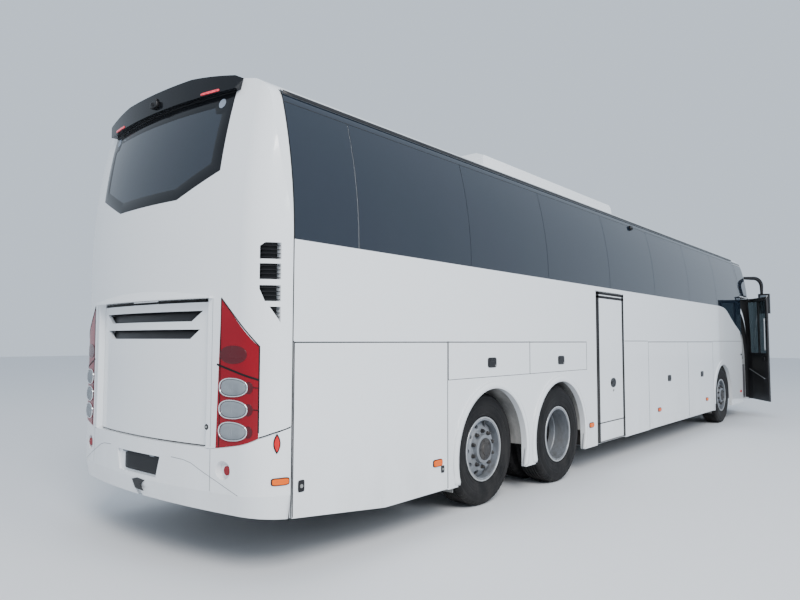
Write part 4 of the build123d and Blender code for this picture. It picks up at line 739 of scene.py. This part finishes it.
def gap_shade_runs(carrier, x0, x1, z0):
    """The (path, width) runs of a flap's painted gap shade: along the top, down the rear edge, then the front
    and foot.
    """
    top, head = FLAP_TOP - 0.010, FLAP_TOP - 0.006
    foot = ENGINE_FLAP_FOOT if carrier == "engine_flap" else z0
    runs = [([(x0 + 0.004, top), (x1 - 0.004, top)], 0.008),
            ([(x0 + 0.005, foot), (x0 + 0.005, head)], 0.008)]
    if carrier not in ("tag_arch_flap", "luggage_flap_rear"):
        runs.append(([(x1 - 0.008, z0), (x1 - 0.008, head)], 0.008))
    if "arch" in carrier:
        runs.append(([(x0, z0 + 0.002), (x1, z0 + 0.002)], 0.005))
    return runs


def arch_lip(x, side):
    """A closed lip round an arch: its rounded section lies on the skin and is carried round the opening."""
    t = np.concatenate([[-0.36], np.linspace(-0.30, np.pi + 0.30, 90), [np.pi + 0.36]])[:, None]
    share = np.array([0.00, 0.00, 0.10, 0.28, 0.52, 0.80, 1.00, 1.00, 0.5])[None, :]
    lift = np.array([-0.020, 0.008, 0.0165, 0.0185, 0.0175, 0.0100, 0.0008, -0.004, -0.020])[None, :]
    size = np.where((t < -0.33) | (t > np.pi + 0.33), 0.02, 1.0)
    r = ARCH_R + 0.0015 + LIP_WIDE * share * size
    return on_side(x + r * np.cos(t), ARCH_Z + r * np.sin(t), lift * size, side)


for side, word in SIDES:
    put = partial(on_side, side=side)
    for carrier, edges in flap_edges.items():
        label = carrier + "_" + word
        # Dark strips on each flap's edges: painted shade of its shut lines, riding with the flap
        add_piece("flap_gap_shade_" + label, [strip(put, path, width, 0.0006)
                                         for path, width in gap_shade_runs(carrier, *edges)],
                  label + "_body", seal_and_shade_black)
    add_piece("arch_lips_" + word, [arch_lip(x, side) for x in (TAG_X, DRIVE_X)], "coach", white_paint)

# Front door dressing: dark lining and rails on the leaf's inner face, a white outer skin and rubber edges.
# The panels are vacuum-formed plastic clipped to the leaf; the rails over them are painted tube.
NOSE_BOW = 3.6
DOOR_START, DOOR_PIVOT, DOOR_TURN = 5.770, (6.655, -1.22509), math.radians(34)
LEAF_DEPTH, LINING_THICK, RAIL_OFF = 0.0302, 0.0035, -0.072


def nose_lean(z):
    """How far back the nose leans at a height: from 1.05 m up with the square, by 230 mm over 1.9 m."""
    return 0.23 * (np.maximum(z - 1.05, 0) / 1.9) ** 2


def front_corner(z):
    """How far forward the centre of the front corner arc lies at a height."""
    return END - NOSE_BOW + knee_of(NOSE_BOW)[1] - nose_lean(z)


def on_door(q, z, lift):
    """Points on the open front door: q along the closed leaf from its rear edge, then turned about the pivot.

    The closed leaf lies on the side skin and then on the corner arc, which moves back with the nose's lean.
    """
    q, z, lift = np.broadcast_arrays(np.asarray(q, float), z, lift)
    centre = front_corner(z)
    a = np.clip((DOOR_START + q - centre) / CORNER, 0, 1.4)
    flat = on_side(DOOR_START + q, z, lift)
    round_y = np.maximum(flat[..., 1], -corner_out - (CORNER + lift) * np.cos(a))
    x = np.where(a > 0, centre + (CORNER + lift) * np.sin(a), flat[..., 0]) - DOOR_PIVOT[0]
    y = np.where(a > 0, round_y, flat[..., 1]) - DOOR_PIVOT[1]
    return np.stack([DOOR_PIVOT[0] + x * math.cos(DOOR_TURN) - y * math.sin(DOOR_TURN),
                     DOOR_PIVOT[1] + x * math.sin(DOOR_TURN) + y * math.cos(DOOR_TURN), z], -1)


def door_inside(q, z, lift):
    """Points off the inner face of the open door, 30 mm in from its skin."""
    return on_door(q, z, -LEAF_DEPTH - np.asarray(lift))


def panel_grid(surface, v, u0, u1, thick, steps=24, foot=0.0):
    """A closed panel on a surface between u0 and u1 at each v: a flat ring of a section, carried along v."""
    v = np.asarray(v, float)[:, None]
    share = np.concatenate([np.linspace(0, 1, steps), np.linspace(1, 0, steps)])[None, :]
    u = np.reshape(u0, (-1, 1)) + np.reshape(np.subtract(u1, u0), (-1, 1)) * share
    lift = np.concatenate([np.full(steps, thick), np.full(steps, foot)])[None, :]
    return surface(u + 0 * v, v + 0 * u, lift + 0 * u)


def tube(path, radius, around=18):
    """A closed round tube along points in one plane: at each, a ring of the radius lies across the run."""
    path = np.array(path, float)
    run = np.gradient(path, axis=0)
    run /= np.linalg.norm(run, axis=1, keepdims=True)
    flat = np.cross(path[1] - path[0], path[-1] - path[0])
    flat = flat if np.linalg.norm(flat) > 1e-9 else np.cross(run[0], (0.3, 0.5, 0.8))
    flat = flat / np.linalg.norm(flat)
    other = np.cross(run, flat)
    t = np.linspace(0, 2 * np.pi, around, endpoint=False)[None, :, None]
    size = np.reshape(radius, (-1, 1, 1))
    return path[:, None] + size * (flat * np.cos(t) + other[:, None] * np.sin(t))


lining_black = coated("lining_black", grain, Paint=(0.014, 0.014, 0.016, 1), Fade=(0.030, 0.030, 0.033, 1),
                      Gloss=0.42, Size=500.0, bump=0.08, distance=0.0004)
rail_bright = coated("rail_bright", grain, Paint=(0.50, 0.52, 0.54, 1), Fade=(0.60, 0.62, 0.64, 1),
                     Gloss=0.25, Metallic=0.7)
finish_nodes(("front_door",), lining_black)
window_edge = [(0.078, 1.304), (0.812, 1.304), (0.812, 2.406), (0.078, 2.406)]
leaf_edge = [(0.010, 1.262), (0.868, 1.262), (0.868, 2.476), (0.010, 2.476)]
add_piece("front_door_lining",
          [panel_grid(door_inside, np.linspace(0.306, 1.262, 12), 0.010, 0.868, LINING_THICK, 36),
           panel_grid(door_inside, np.linspace(1.304, 2.406, 12), 0.408, 0.452, LINING_THICK, 4)],
          "front_door_leaf", lining_black, smooth=False,
          hoops=[frame_band(door_inside, leaf_edge, window_edge, (0.44, 1.86), LINING_THICK)])
add_piece("front_door_skin", [panel_grid(on_door, np.linspace(0.308, 1.258, 20), 0.016, 0.884, 0.0010, 40)],
          "front_door_leaf", white_paint)
slope = np.linspace(-0.045, 1.045, 16)
add_piece("front_door_rails",
          [tube(on_door(0.042, np.linspace(1.362, 2.038, 12), RAIL_OFF), 0.0118),
           tube(on_door(0.110 + 0.680 * slope, 0.777 + 0.166 * slope, RAIL_OFF), 0.0088)],
          "front_door_leaf", rail_bright)
add_piece("front_door_seals", [strip(on_door, [(0.022, 0.310), (0.022, 2.474)], 0.020, 0.0012, 60),
                               strip(on_door, [(0.020, 0.312), (0.840, 0.312)], 0.016, 0.0012, 60),
                               strip(on_door, [(0.020, 2.470), (0.780, 2.470)], 0.016, 0.0012, 60)],
          "front_door_leaf", seal_rubber)
HANDLE_Q, HANDLE_Z = 0.150, 1.120
add_piece("front_door_handle", [pad(on_door, HANDLE_Q, HANDLE_Z, 0.140, 0.090, 0.006, 3.0, 48, 0.8),
                                pad(on_door, HANDLE_Q, HANDLE_Z, 0.120, 0.026, 0.014, 4.0),
                                pad(door_inside, 0.200, 1.180, 0.160, 0.110, 0.030, 4.0)],
          "front_door_leaf", black_trim)

# Mirrors: a tall flat glass over a short wide-angle one on each mirror head, and a sleeve round each arm.
# Silvered glass is clipped into the black moulded head; the sleeve is moulded over the arm's tube.
mirror_silver = coated("mirror_silver", grain, Paint=(0.42, 0.45, 0.48, 1), Fade=(0.38, 0.41, 0.44, 1),
                       Gloss=0.03, Metallic=1.0)
MIRROR_BACK, MIRROR_Y = 6.885, 1.500
ARM_REACH, ARM_BEND, ARM_Z = 0.326, 0.180, 2.960


def on_mirror(u, v, lift, side):
    """Points on the flat rear face of a mirror head."""
    return np.stack(np.broadcast_arrays(MIRROR_BACK - lift, side * (MIRROR_Y + u), v), -1)


def mirror_arm(side):
    """The line of a mirror's arm: level out from the pillar, round a quarter circle and down to the head."""
    turn = np.linspace(0, np.pi / 2, 12)[1:]
    bend_end = ARM_REACH + ARM_BEND
    along = np.concatenate([np.linspace(0.010, ARM_REACH, 8), ARM_REACH + ARM_BEND * np.sin(turn),
                            np.full(5, bend_end)])
    height = np.concatenate([np.full(8, ARM_Z), ARM_Z - ARM_BEND * (1 - np.cos(turn)),
                             np.linspace(2.760, 2.600, 5)])
    return np.stack([6.600 + 0.737 * along, side * (1.110 + 0.676 * along), height], -1)


for side, word in SIDES:
    put = partial(on_mirror, side=side)
    add_piece("mirror_glasses_" + word, [pad(put, 0.0, 2.440, 0.150, 0.265, 0.0030, 8.0),
                                         pad(put, 0.0, 2.235, 0.150, 0.095, 0.0030, 8.0)],
              "coach", mirror_silver)
    arm = mirror_arm(side)
    girth = 0.030 + 0.012 * np.sin(np.linspace(0, np.pi, len(arm)))
    add_piece("mirror_arm_sleeve_" + word, [tube(arm, girth, 24)], "coach", black_trim)

# Windscreen: a black printed border round the pane, and two parked wipers with arms.
# The border is fired on inside the glass; the arms are painted steel with rubber blades.
screen_rim = [(-1.150, 1.090), (1.150, 1.090), (0.950, 3.010), (-0.950, 3.010)]
screen_clear = [(-1.075, 1.190), (1.075, 1.190), (0.890, 2.930), (-0.890, 2.930)]
wiper_runs = [([(-0.95, 1.235), (-0.10, 1.285)], 0.016, 0.020),
              ([(0.02, 1.235), (0.90, 1.285)], 0.016, 0.020),
              ([(-0.16, 1.105), (-0.30, 1.180), (-0.55, 1.262)], 0.026, 0.034),
              ([(0.72, 1.105), (0.64, 1.180), (0.44, 1.262)], 0.026, 0.034)]


def on_nose(s, z, lift, side=-1):
    """Points on the front skin, bowed as on_bow says and leaning back as nose_lean says."""
    out, across, up = on_bow(s, z, lift, side, NOSE_BOW)
    return np.stack([END + out - nose_lean(up), across, up], -1)


def nose_at(y, z, lift):
    """Points on the front skin from the place across, for what crosses the centreline."""
    return on_nose(skin_length(y, NOSE_BOW), z, lift, np.where(np.asarray(y) < 0, -1, 1))


border = frame_band(nose_at, screen_rim, screen_clear, (0.0, 2.05), 0.0006)
add_piece("windscreen_border", [], "coach", gloss_black, hoops=[border])
wipers = [strip(nose_at, path, width, lift, 40, 0.2) for path, width, lift in wiper_runs]
wipers += [pad(nose_at, y, 1.105, 0.055, 0.055, 0.036, 2.0) for y in (-0.16, 0.72)]
add_piece("wipers", wipers, "coach", black_trim)

# Screen pillars: black gloss covers round the front corners, from the windscreen to the quarter windows.
# They are thin pressed covers bonded to the pillars, so that the glass seems to run round the front.
pillar_spans = ((-1, 1.150, 2.486, 6.708), (-1, 2.502, 3.080, 6.474), (1, 1.150, 1.694, 6.560),
                (1, 1.694, 3.080, 6.474))


def pillar_grid(side, z0, z1, edge_x):
    """A closed cover on the front corner, from the windscreen's edge to where the skin reaches edge_x.

    The skin comes to edge_x on the corner arc, at the angle whose cosine is (edge_x - its centre) / CORNER,
    or else on the bow, at the angle whose cosine is (edge_x - its centre) / NOSE_BOW. The windscreen's edge
    draws in by 200 mm over its height of 1.92 m.
    """
    z = np.linspace(z0, z1, 24)
    turn, _ = knee_of(NOSE_BOW)
    bow_x = END - NOSE_BOW - nose_lean(z)
    corner = np.arccos(np.clip((edge_x - front_corner(z)) / CORNER, 0, 1))
    bowed = np.arccos(np.clip((edge_x - bow_x) / NOSE_BOW, 0, 1))
    outer = np.where(corner > turn, NOSE_BOW * turn + CORNER * (corner - turn), NOSE_BOW * bowed)
    screen_edge = 1.153 - 0.200 * (z - 1.090) / 1.920
    inner = skin_length(screen_edge, NOSE_BOW)
    outer = np.maximum(outer, inner + 0.012)
    return panel_grid(partial(on_nose, side=side), z, inner, outer, 0.0010, 20, -0.0010)


add_piece("screen_pillars", [pillar_grid(*span) for span in pillar_spans], "coach", gloss_black)

# Front quarter windows: a dark pane over the front door and one by the driver, with a black cover above each.
# The pane is bonded flush to the shell and follows its corner; the cover is a thin strip on the cant rail.


def on_quarter(x, z, lift, side):
    """Points on the side skin near a front corner: the nearer in of the side arc and the corner arc."""
    place = on_side(x, z, lift, side)
    past = np.maximum(place[..., 0] - front_corner(place[..., 2]), 0)
    wide = corner_out + np.sqrt(np.maximum(CORNER ** 2 - past ** 2, 0)) + lift
    place[..., 1] = side * np.minimum(np.abs(place[..., 1]), wide)
    return place


def on_cant(x, z, lift, side):
    """Points on the cant rail over a quarter window, which narrows with height and faces up a little."""
    x, z, lift = np.broadcast_arrays(np.asarray(x, float), z, lift)
    wide = np.interp(z, [3.20, 3.22, 3.24, 3.26, 3.28], [1.1400, 1.1335, 1.1248, 1.1138, 1.0998])
    return np.stack([x, side * (wide + 0.88 * lift), z + 0.47 * lift], -1)


for (side, word), sill in zip(SIDES, (2.5125, 1.7025)):
    pane = panel_grid(partial(on_quarter, side=side), np.linspace(sill, 3.1925, 30), 5.7725, 6.4675,
                      -0.0005, 36, -0.0057)
    add_piece("front_quarter_glass_" + word, [pane], "coach", side_glass)
    strip_over = panel_grid(partial(on_cant, side=side), np.linspace(3.203, 3.252, 8), 5.773, 6.420,
                            0.0010, 30, -0.0010)
    add_piece("front_cant_cover_" + word, [strip_over], "coach", gloss_black)

# Front doorway lining: a black strip down the doorway's front jamb, behind the door's hinge edge.
# It is thin moulded plastic screwed to the jamb, which crosses the shell where the corner bends.
JAMB_X = 6.705


def jamb_wide(z, skin):
    """How far across the jamb lies a shell moved in by skin: on its corner arc, or else on its bow."""
    bow_x = END - NOSE_BOW - nose_lean(z)
    ahead = JAMB_X - front_corner(z)
    on_arc = corner_out + np.sqrt(np.maximum((CORNER - skin) ** 2 - ahead ** 2, 0))
    bowed = np.sqrt(np.maximum((NOSE_BOW - skin) ** 2 - (JAMB_X - bow_x) ** 2, 0))
    return np.where(ahead < (CORNER - skin) * 0.955, on_arc, bowed)


def on_jamb(u, v, lift):
    """Points on the jamb's plane, u across to the right and v up."""
    return np.stack([JAMB_X - lift, -u, v], -1)


jamb = np.linspace(0.320, 2.150, 40)
add_piece("front_doorway_lining", [panel_grid(on_jamb, jamb, jamb_wide(jamb, 0.049), jamb_wide(jamb, 0.0015),
                                              0.0012, 6, -0.0005)],
          "coach", lining_black, smooth=False)

# Side joints and door release: the dark joint under the waist panel between the flaps, and a black push knob.
# The joint is a bead of sealant; the knob is moulded and pushed through the panel behind the front door.
waist_joints = ([(-0.780, 1.553), (0.116, 1.553)], [(3.540, 1.553), (5.760, 1.553)])
add_piece("side_body_joints", [strip(partial(on_side, side=side), path, 0.0070, 0.0004, 60)
                               for side, _ in SIDES for path in waist_joints],
          "coach", seal_and_shade_black)
add_piece("door_release_knob", [pad(on_side, 5.663, 1.276, 0.034, 0.034, 0.016, 2.0, 24, 0.2)],
          "coach", black_trim)

# Headlamps: three round lamps with bright rims on a dark reflector plate behind each clear cover.
# The lamp is a moulded housing under a clear bonded cover.
finish_nodes(("headlamps",), lamp_lens)
lamp_edge = ((1.205, 0.775), (0.745, 0.718), (0.775, 0.846), (1.205, 0.942))
round_lamps = ((0.860, 0.796, 0.094, 0.062), (1.005, 0.824, 0.108, 0.074), (1.135, 0.848, 0.084, 0.054))
for side, word in SIDES:
    outline = [(side * y, z) for y, z in lamp_edge]
    add_piece("headlamp_reflector_" + word, [plate_on(nose_at, outline, 0.0008)], "coach", gloss_black)
    add_piece("headlamp_rims_" + word, [pad(nose_at, side * y, z, rim, rim, 0.0045, 2.0, 48, 0.9)
                                        for y, z, rim, _ in round_lamps], "coach", lamp_bright)
    add_piece("headlamp_lenses_" + word, [pad(nose_at, side * y, z, size, size, 0.009, 2.0, 48)
                                          for y, z, _, size in round_lamps], "coach", lamp_lens)

# Passenger seats: blue woven upholstery over moulded foam, each with a cushion, a back and a headrest.
# The covers are sewn and pulled over the foam; dark pedestals and armrests carry them.
weave, weave_in, weave_out = make_group(
    "seat_weave",
    [("Paint", "Color", (0.03, 0.06, 0.16, 1)), ("Fade", "Color", (0.05, 0.10, 0.24, 1)),
     ("Gloss", "Float", 0.85)],
    [("Color", "Color"), ("Roughness", "Float"), ("Height", "Float")])
place = wire(weave, "TexCoord", {}).outputs["Object"]
warp, weft = [wire(weave, "TexWave", {"Vector": place, "Scale": 220.0, "Distortion": 0.6},
                   bands_direction=way).outputs[0] for way in ("Y", "Z")]
crossed = wire(weave, "Math", {0: warp, 1: weft}, operation="MULTIPLY").outputs[0]
fleck = wire(weave, "TexNoise", {"Vector": place, "Scale": 38.0, "Detail": 3.0}).outputs[0]
fleck = wire(weave, "MapRange", {"Value": fleck, "From Min": 0.45, "From Max": 0.62}).outputs[0]
flecked = mix_colour(weave, fleck, weave_in.outputs["Paint"], weave_in.outputs["Fade"])
rough = wire(weave, "Math", {0: crossed, 1: 0.1, 2: weave_in.outputs["Gloss"]},
             operation="MULTIPLY_ADD").outputs[0]
weave.links.new(flecked, weave_out.inputs["Color"])
weave.links.new(rough, weave_out.inputs["Roughness"])
weave.links.new(crossed, weave_out.inputs["Height"])
seat_cloth = coated("seat_cloth", weave, bump=0.3)
head_cloth = coated("head_cloth", grain, Paint=(0.03, 0.03, 0.035, 1), Fade=(0.06, 0.06, 0.065, 1),
                    Gloss=0.55, Size=260.0, bump=0.2, distance=0.0006)
SALOON_FLOOR, PLATFORM_FLOOR, DRIVER_X, DRIVER_Y = 1.560, 1.050, 5.250, 0.530
ROWS, FIRST_ROW_X, ROW_PITCH, SEAT_YS = 12, -5.650, 0.790, (0.415, 0.865)
STAIR_START, STAIR_END = -2.204, -0.700
BACK_LEAN, HEAD_LEAN = -0.26, -0.20


def cushion(centre, half, lean=0.0, power=0.32, crown=0.0, rows=13, cols=26):
    """A closed pad: a superellipsoid, its sines and cosines raised to a power, sheared back with height.

    crown pulls its sides in between the corners by the product of the other two places squared.
    """
    def bend(value):
        return np.sign(value) * np.abs(value) ** power
    a = np.linspace(-np.pi / 2 + 0.001, np.pi / 2 - 0.001, rows)[:, None]
    b = np.linspace(0, 2 * np.pi, cols, endpoint=False)[None, :]
    x, y, z = bend(np.cos(a)) * bend(np.cos(b)), bend(np.cos(a)) * bend(np.sin(b)), bend(np.sin(a)) + 0 * b
    y = y * (1 - crown * (1 - z ** 2) * (1 - np.abs(y)))
    z = z * (1 + crown * (1 - y ** 2) * 0.6)
    return np.stack([centre[0] + half[0] * x + lean * half[2] * z, centre[1] + half[1] * y,
                     centre[2] + half[2] * z], -1)


def seat_parts(x, y, floor):
    """The pads, the headrest and the carrying parts of one seat, centred on y, with its cushion behind x."""
    pads = [cushion((x + 0.215, y, floor + 0.395), (0.250, 0.212, 0.055), crown=0.12),
            cushion((x - 0.030, y, floor + 0.700), (0.052, 0.208, 0.290), BACK_LEAN, crown=0.06)]
    pads += [cushion((x + 0.030, y + off, floor + 0.620), (0.035, 0.036, 0.150), BACK_LEAN)
             for off in (-0.165, 0.165)]
    head = [cushion((x - 0.095, y, floor + 0.995), (0.048, 0.150, 0.092), HEAD_LEAN, crown=0.1)]
    carry = [cushion((x + 0.190, y + off, floor + 0.640), (0.170, 0.020, 0.022), power=0.4, rows=7, cols=14)
             for off in (-0.215, 0.215)]
    carry.append(cushion((x + 0.215, y, floor + 0.172), (0.140, 0.036, 0.168), power=0.15, rows=7, cols=14))
    return pads, head, carry


row_xs = [FIRST_ROW_X + ROW_PITCH * row for row in range(ROWS)]
for side, word in SIDES:
    # No seat stands over the middle stairs, on the right
    seats = [seat_parts(x, side * y, SALOON_FLOOR) for x in row_xs for y in SEAT_YS
             if side > 0 or not STAIR_START < x < STAIR_END]
    pads, heads, carriers = [sum(parts, []) for parts in zip(*seats)]
    add_piece("seat_cushions_" + word, pads, "coach", seat_cloth)
    add_piece("seat_headrests_" + word, heads, "coach", head_cloth)
    add_piece("seat_frames_" + word, carriers, "coach", black_trim)
pads, head, carriers = seat_parts(DRIVER_X, DRIVER_Y, PLATFORM_FLOOR)
driver_seat = add_piece("driver_seat_cushions", pads + head, "coach", head_cloth)
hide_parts("seats")
add_piece("driver_seat_frame", carriers, "coach", black_trim)

# Driver's place: a hooded instrument binnacle with a switch panel beside it, and a ticket shelf by the door.
# They are moulded plastic screwed to the dashboard.
HOOD_LEAN = -0.3
add_piece("instrument_binnacle",
          [cushion((6.400, DRIVER_Y, 1.530), (0.110, 0.300, 0.055), HOOD_LEAN, 0.35, rows=17, cols=40),
           cushion((6.350, 0.080, 1.485), (0.060, 0.120, 0.070), HOOD_LEAN, 0.30)],
          "coach", lining_black)
add_piece("ticket_shelf", [cushion((6.420, -0.250, 1.515), (0.110, 0.170, 0.030), power=0.25)],
          "coach", lining_black)

# Roof unit: eight round fan guards in two rows on top of the air-conditioning housing.
# The guards are moulded rings snapped into the white housing.
UNIT_TOP, RING_STEP = 3.5650, 0.030
fan_xs, fan_ys = (-3.05, -2.35, -1.65, -0.95), (-0.36, 0.36)
rib = ((0.0, 0.0004), (0.004, 0.0045), (0.014, 0.0045), (0.018, 0.0004))
guard = [(0.001, UNIT_TOP + 0.0014)]
guard += [(r + step, UNIT_TOP + h) for r in np.arange(0.040, 0.250, RING_STEP) for step, h in rib]
guard += [(0.262, UNIT_TOP + 0.0048), (0.280, UNIT_TOP + 0.0048), (0.286, UNIT_TOP - 0.0010),
          (0.001, UNIT_TOP - 0.0010)]
housing_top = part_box("roof_unit")[1][2]
guard = np.array(guard) + (0.0, min(housing_top - 3.5700, 0.0))


def upright_ring(profile, x, y, steps=64):
    """A closed disc turned about a vertical line from (radius, height) points."""
    a = np.linspace(0, 2 * np.pi, steps, endpoint=False)[None, :]
    r, z = profile[:, :1], profile[:, 1:]
    return np.stack([x + r * np.cos(a), y + r * np.sin(a), z + 0 * a], -1)


add_piece("roof_fan_guards", [upright_ring(guard, x, y) for x in fan_xs for y in fan_ys],
          "coach", black_trim, smooth=False)

# Engine dressing: six rounded covers on the rear of the engine, and a silencer and two tanks below the floor.
# The covers are cast and bolted to the block; the tanks are rolled sheet, hung on rods.
add_piece("engine_covers", [cushion((-6.345, y, z), (0.045, 0.13, 0.10), power=0.3)
                            for y in (-0.20, 0.20) for z in (0.66, 0.92, 1.18)],
          "coach", under_black)
silver_tank = coated("silver_tank", dust, Paint=(0.28, 0.28, 0.28, 1), Dust=(0.14, 0.12, 0.10, 1),
                     Reach=2.0, Amount=0.9, Gloss=0.45, Grain=8.0, bump=0.06, Metallic=0.5)
TANK_Y, TANK_Z, tank_xs = 0.70, 0.62, (5.16, 5.56)
tanks = [cushion((-5.75, 0.86, TANK_Z), (0.48, 0.20, 0.20), power=0.45, rows=21, cols=40)]
tanks += [cushion((x, TANK_Y, TANK_Z), (0.18, 0.17, 0.17), power=0.5) for x in tank_xs]
add_piece("silencer_and_tanks", tanks, "coach", silver_tank)
rods = [((x + step, TANK_Y, 0.72), (x + step, TANK_Y, 1.004)) for x in tank_xs for step in (-0.10, 0.10)]
rods += [((x, 0.72, TANK_Z), (x, 0.384, TANK_Z)) for x in (-5.95, -5.55)]
add_piece("tank_hangers", [tube(np.linspace(foot, head, 6), 0.012) for foot, head in rods],
          "coach", under_black)

# Studio: a pale floor, soft sky light, one large key light and one fill.
# The floor is a plain sheet of paint; the lights are square soft boxes.
FLOOR_HALF = 60
floor_corners = [(x * FLOOR_HALF, y * FLOOR_HALF, 0) for x, y in ((-1, -1), (1, -1), (1, 1), (-1, 1))]
floor_mesh = bpy.data.meshes.new("studio_floor")
floor_mesh.from_pydata(floor_corners, [], [(0, 1, 2, 3)])
studio_floor = bpy.data.objects.new("studio_floor", floor_mesh)
bpy.context.collection.objects.link(studio_floor)
pale = bpy.data.materials.new("pale_floor")
pale.use_nodes = True
pale_paint = pale.node_tree.nodes["Principled BSDF"].inputs
pale_paint["Base Color"].default_value = (0.72, 0.73, 0.75, 1)
pale_paint["Roughness"].default_value = 0.7
floor_mesh.materials.append(pale)
world = bpy.data.worlds.new("soft_sky")
bpy.context.scene.world = world
world.use_nodes = True
sky = world.node_tree.nodes["Background"].inputs
sky["Color"].default_value = (0.76, 0.87, 1.0, 1)
sky["Strength"].default_value = 0.95


def area_light(name, spot, aim, size, power, tint):
    """A square soft light at a point, turned to face another point."""
    data = bpy.data.lights.new(name, "AREA")
    data.size = size
    data.energy = power
    data.color = tint
    lamp = bpy.data.objects.new(name, data)
    lamp.location = spot
    x, y, z = np.array(spot, float) - np.array(aim, float)
    lamp.rotation_euler = (math.atan2(math.hypot(x, y), z), 0.0, math.atan2(x, -y))
    bpy.context.collection.objects.link(lamp)


area_light("key_light", (-14.0, -14.0, 15.0), (-2.0, 0.0, 1.5), 9.0, 4600.0, (1.0, 0.98, 0.95))
area_light("fill_light", (-3.0, -20.0, 11.0), (1.0, 0.0, 1.5), 8.0, 1300.0, (0.92, 0.96, 1.0))

# Camera at the photograph's place: 1.56 m above the road, behind the coach and to its right.
# The focal length in pixels and the picture's width in pixels give the lens on a 36 mm sensor.
FOCAL_PIXELS, PICTURE_PIXELS, SENSOR = 652.09, 800, 36.0
eye = (-9.424, -4.572, 1.555)
yaw, pitch, roll = math.radians(39.847), math.radians(3.541), math.radians(0.133)
ahead = np.array([math.cos(yaw) * math.cos(pitch), math.sin(yaw) * math.cos(pitch), math.sin(pitch)])
level = np.array([math.sin(yaw), -math.cos(yaw), 0.0])
upward = np.cross(level, ahead)
right = math.cos(roll) * level + math.sin(roll) * upward
top = -math.sin(roll) * level + math.cos(roll) * upward
view = bpy.data.cameras.new("view")
view.sensor_width = SENSOR
view.lens = FOCAL_PIXELS / PICTURE_PIXELS * SENSOR
view.clip_end = 200.0
camera = bpy.data.objects.new("view", view)
camera.matrix_world = Matrix([[right[i], top[i], -ahead[i], eye[i]] for i in range(3)] + [[0, 0, 0, 1]])
bpy.context.collection.objects.link(camera)
bpy.context.scene.camera = camera
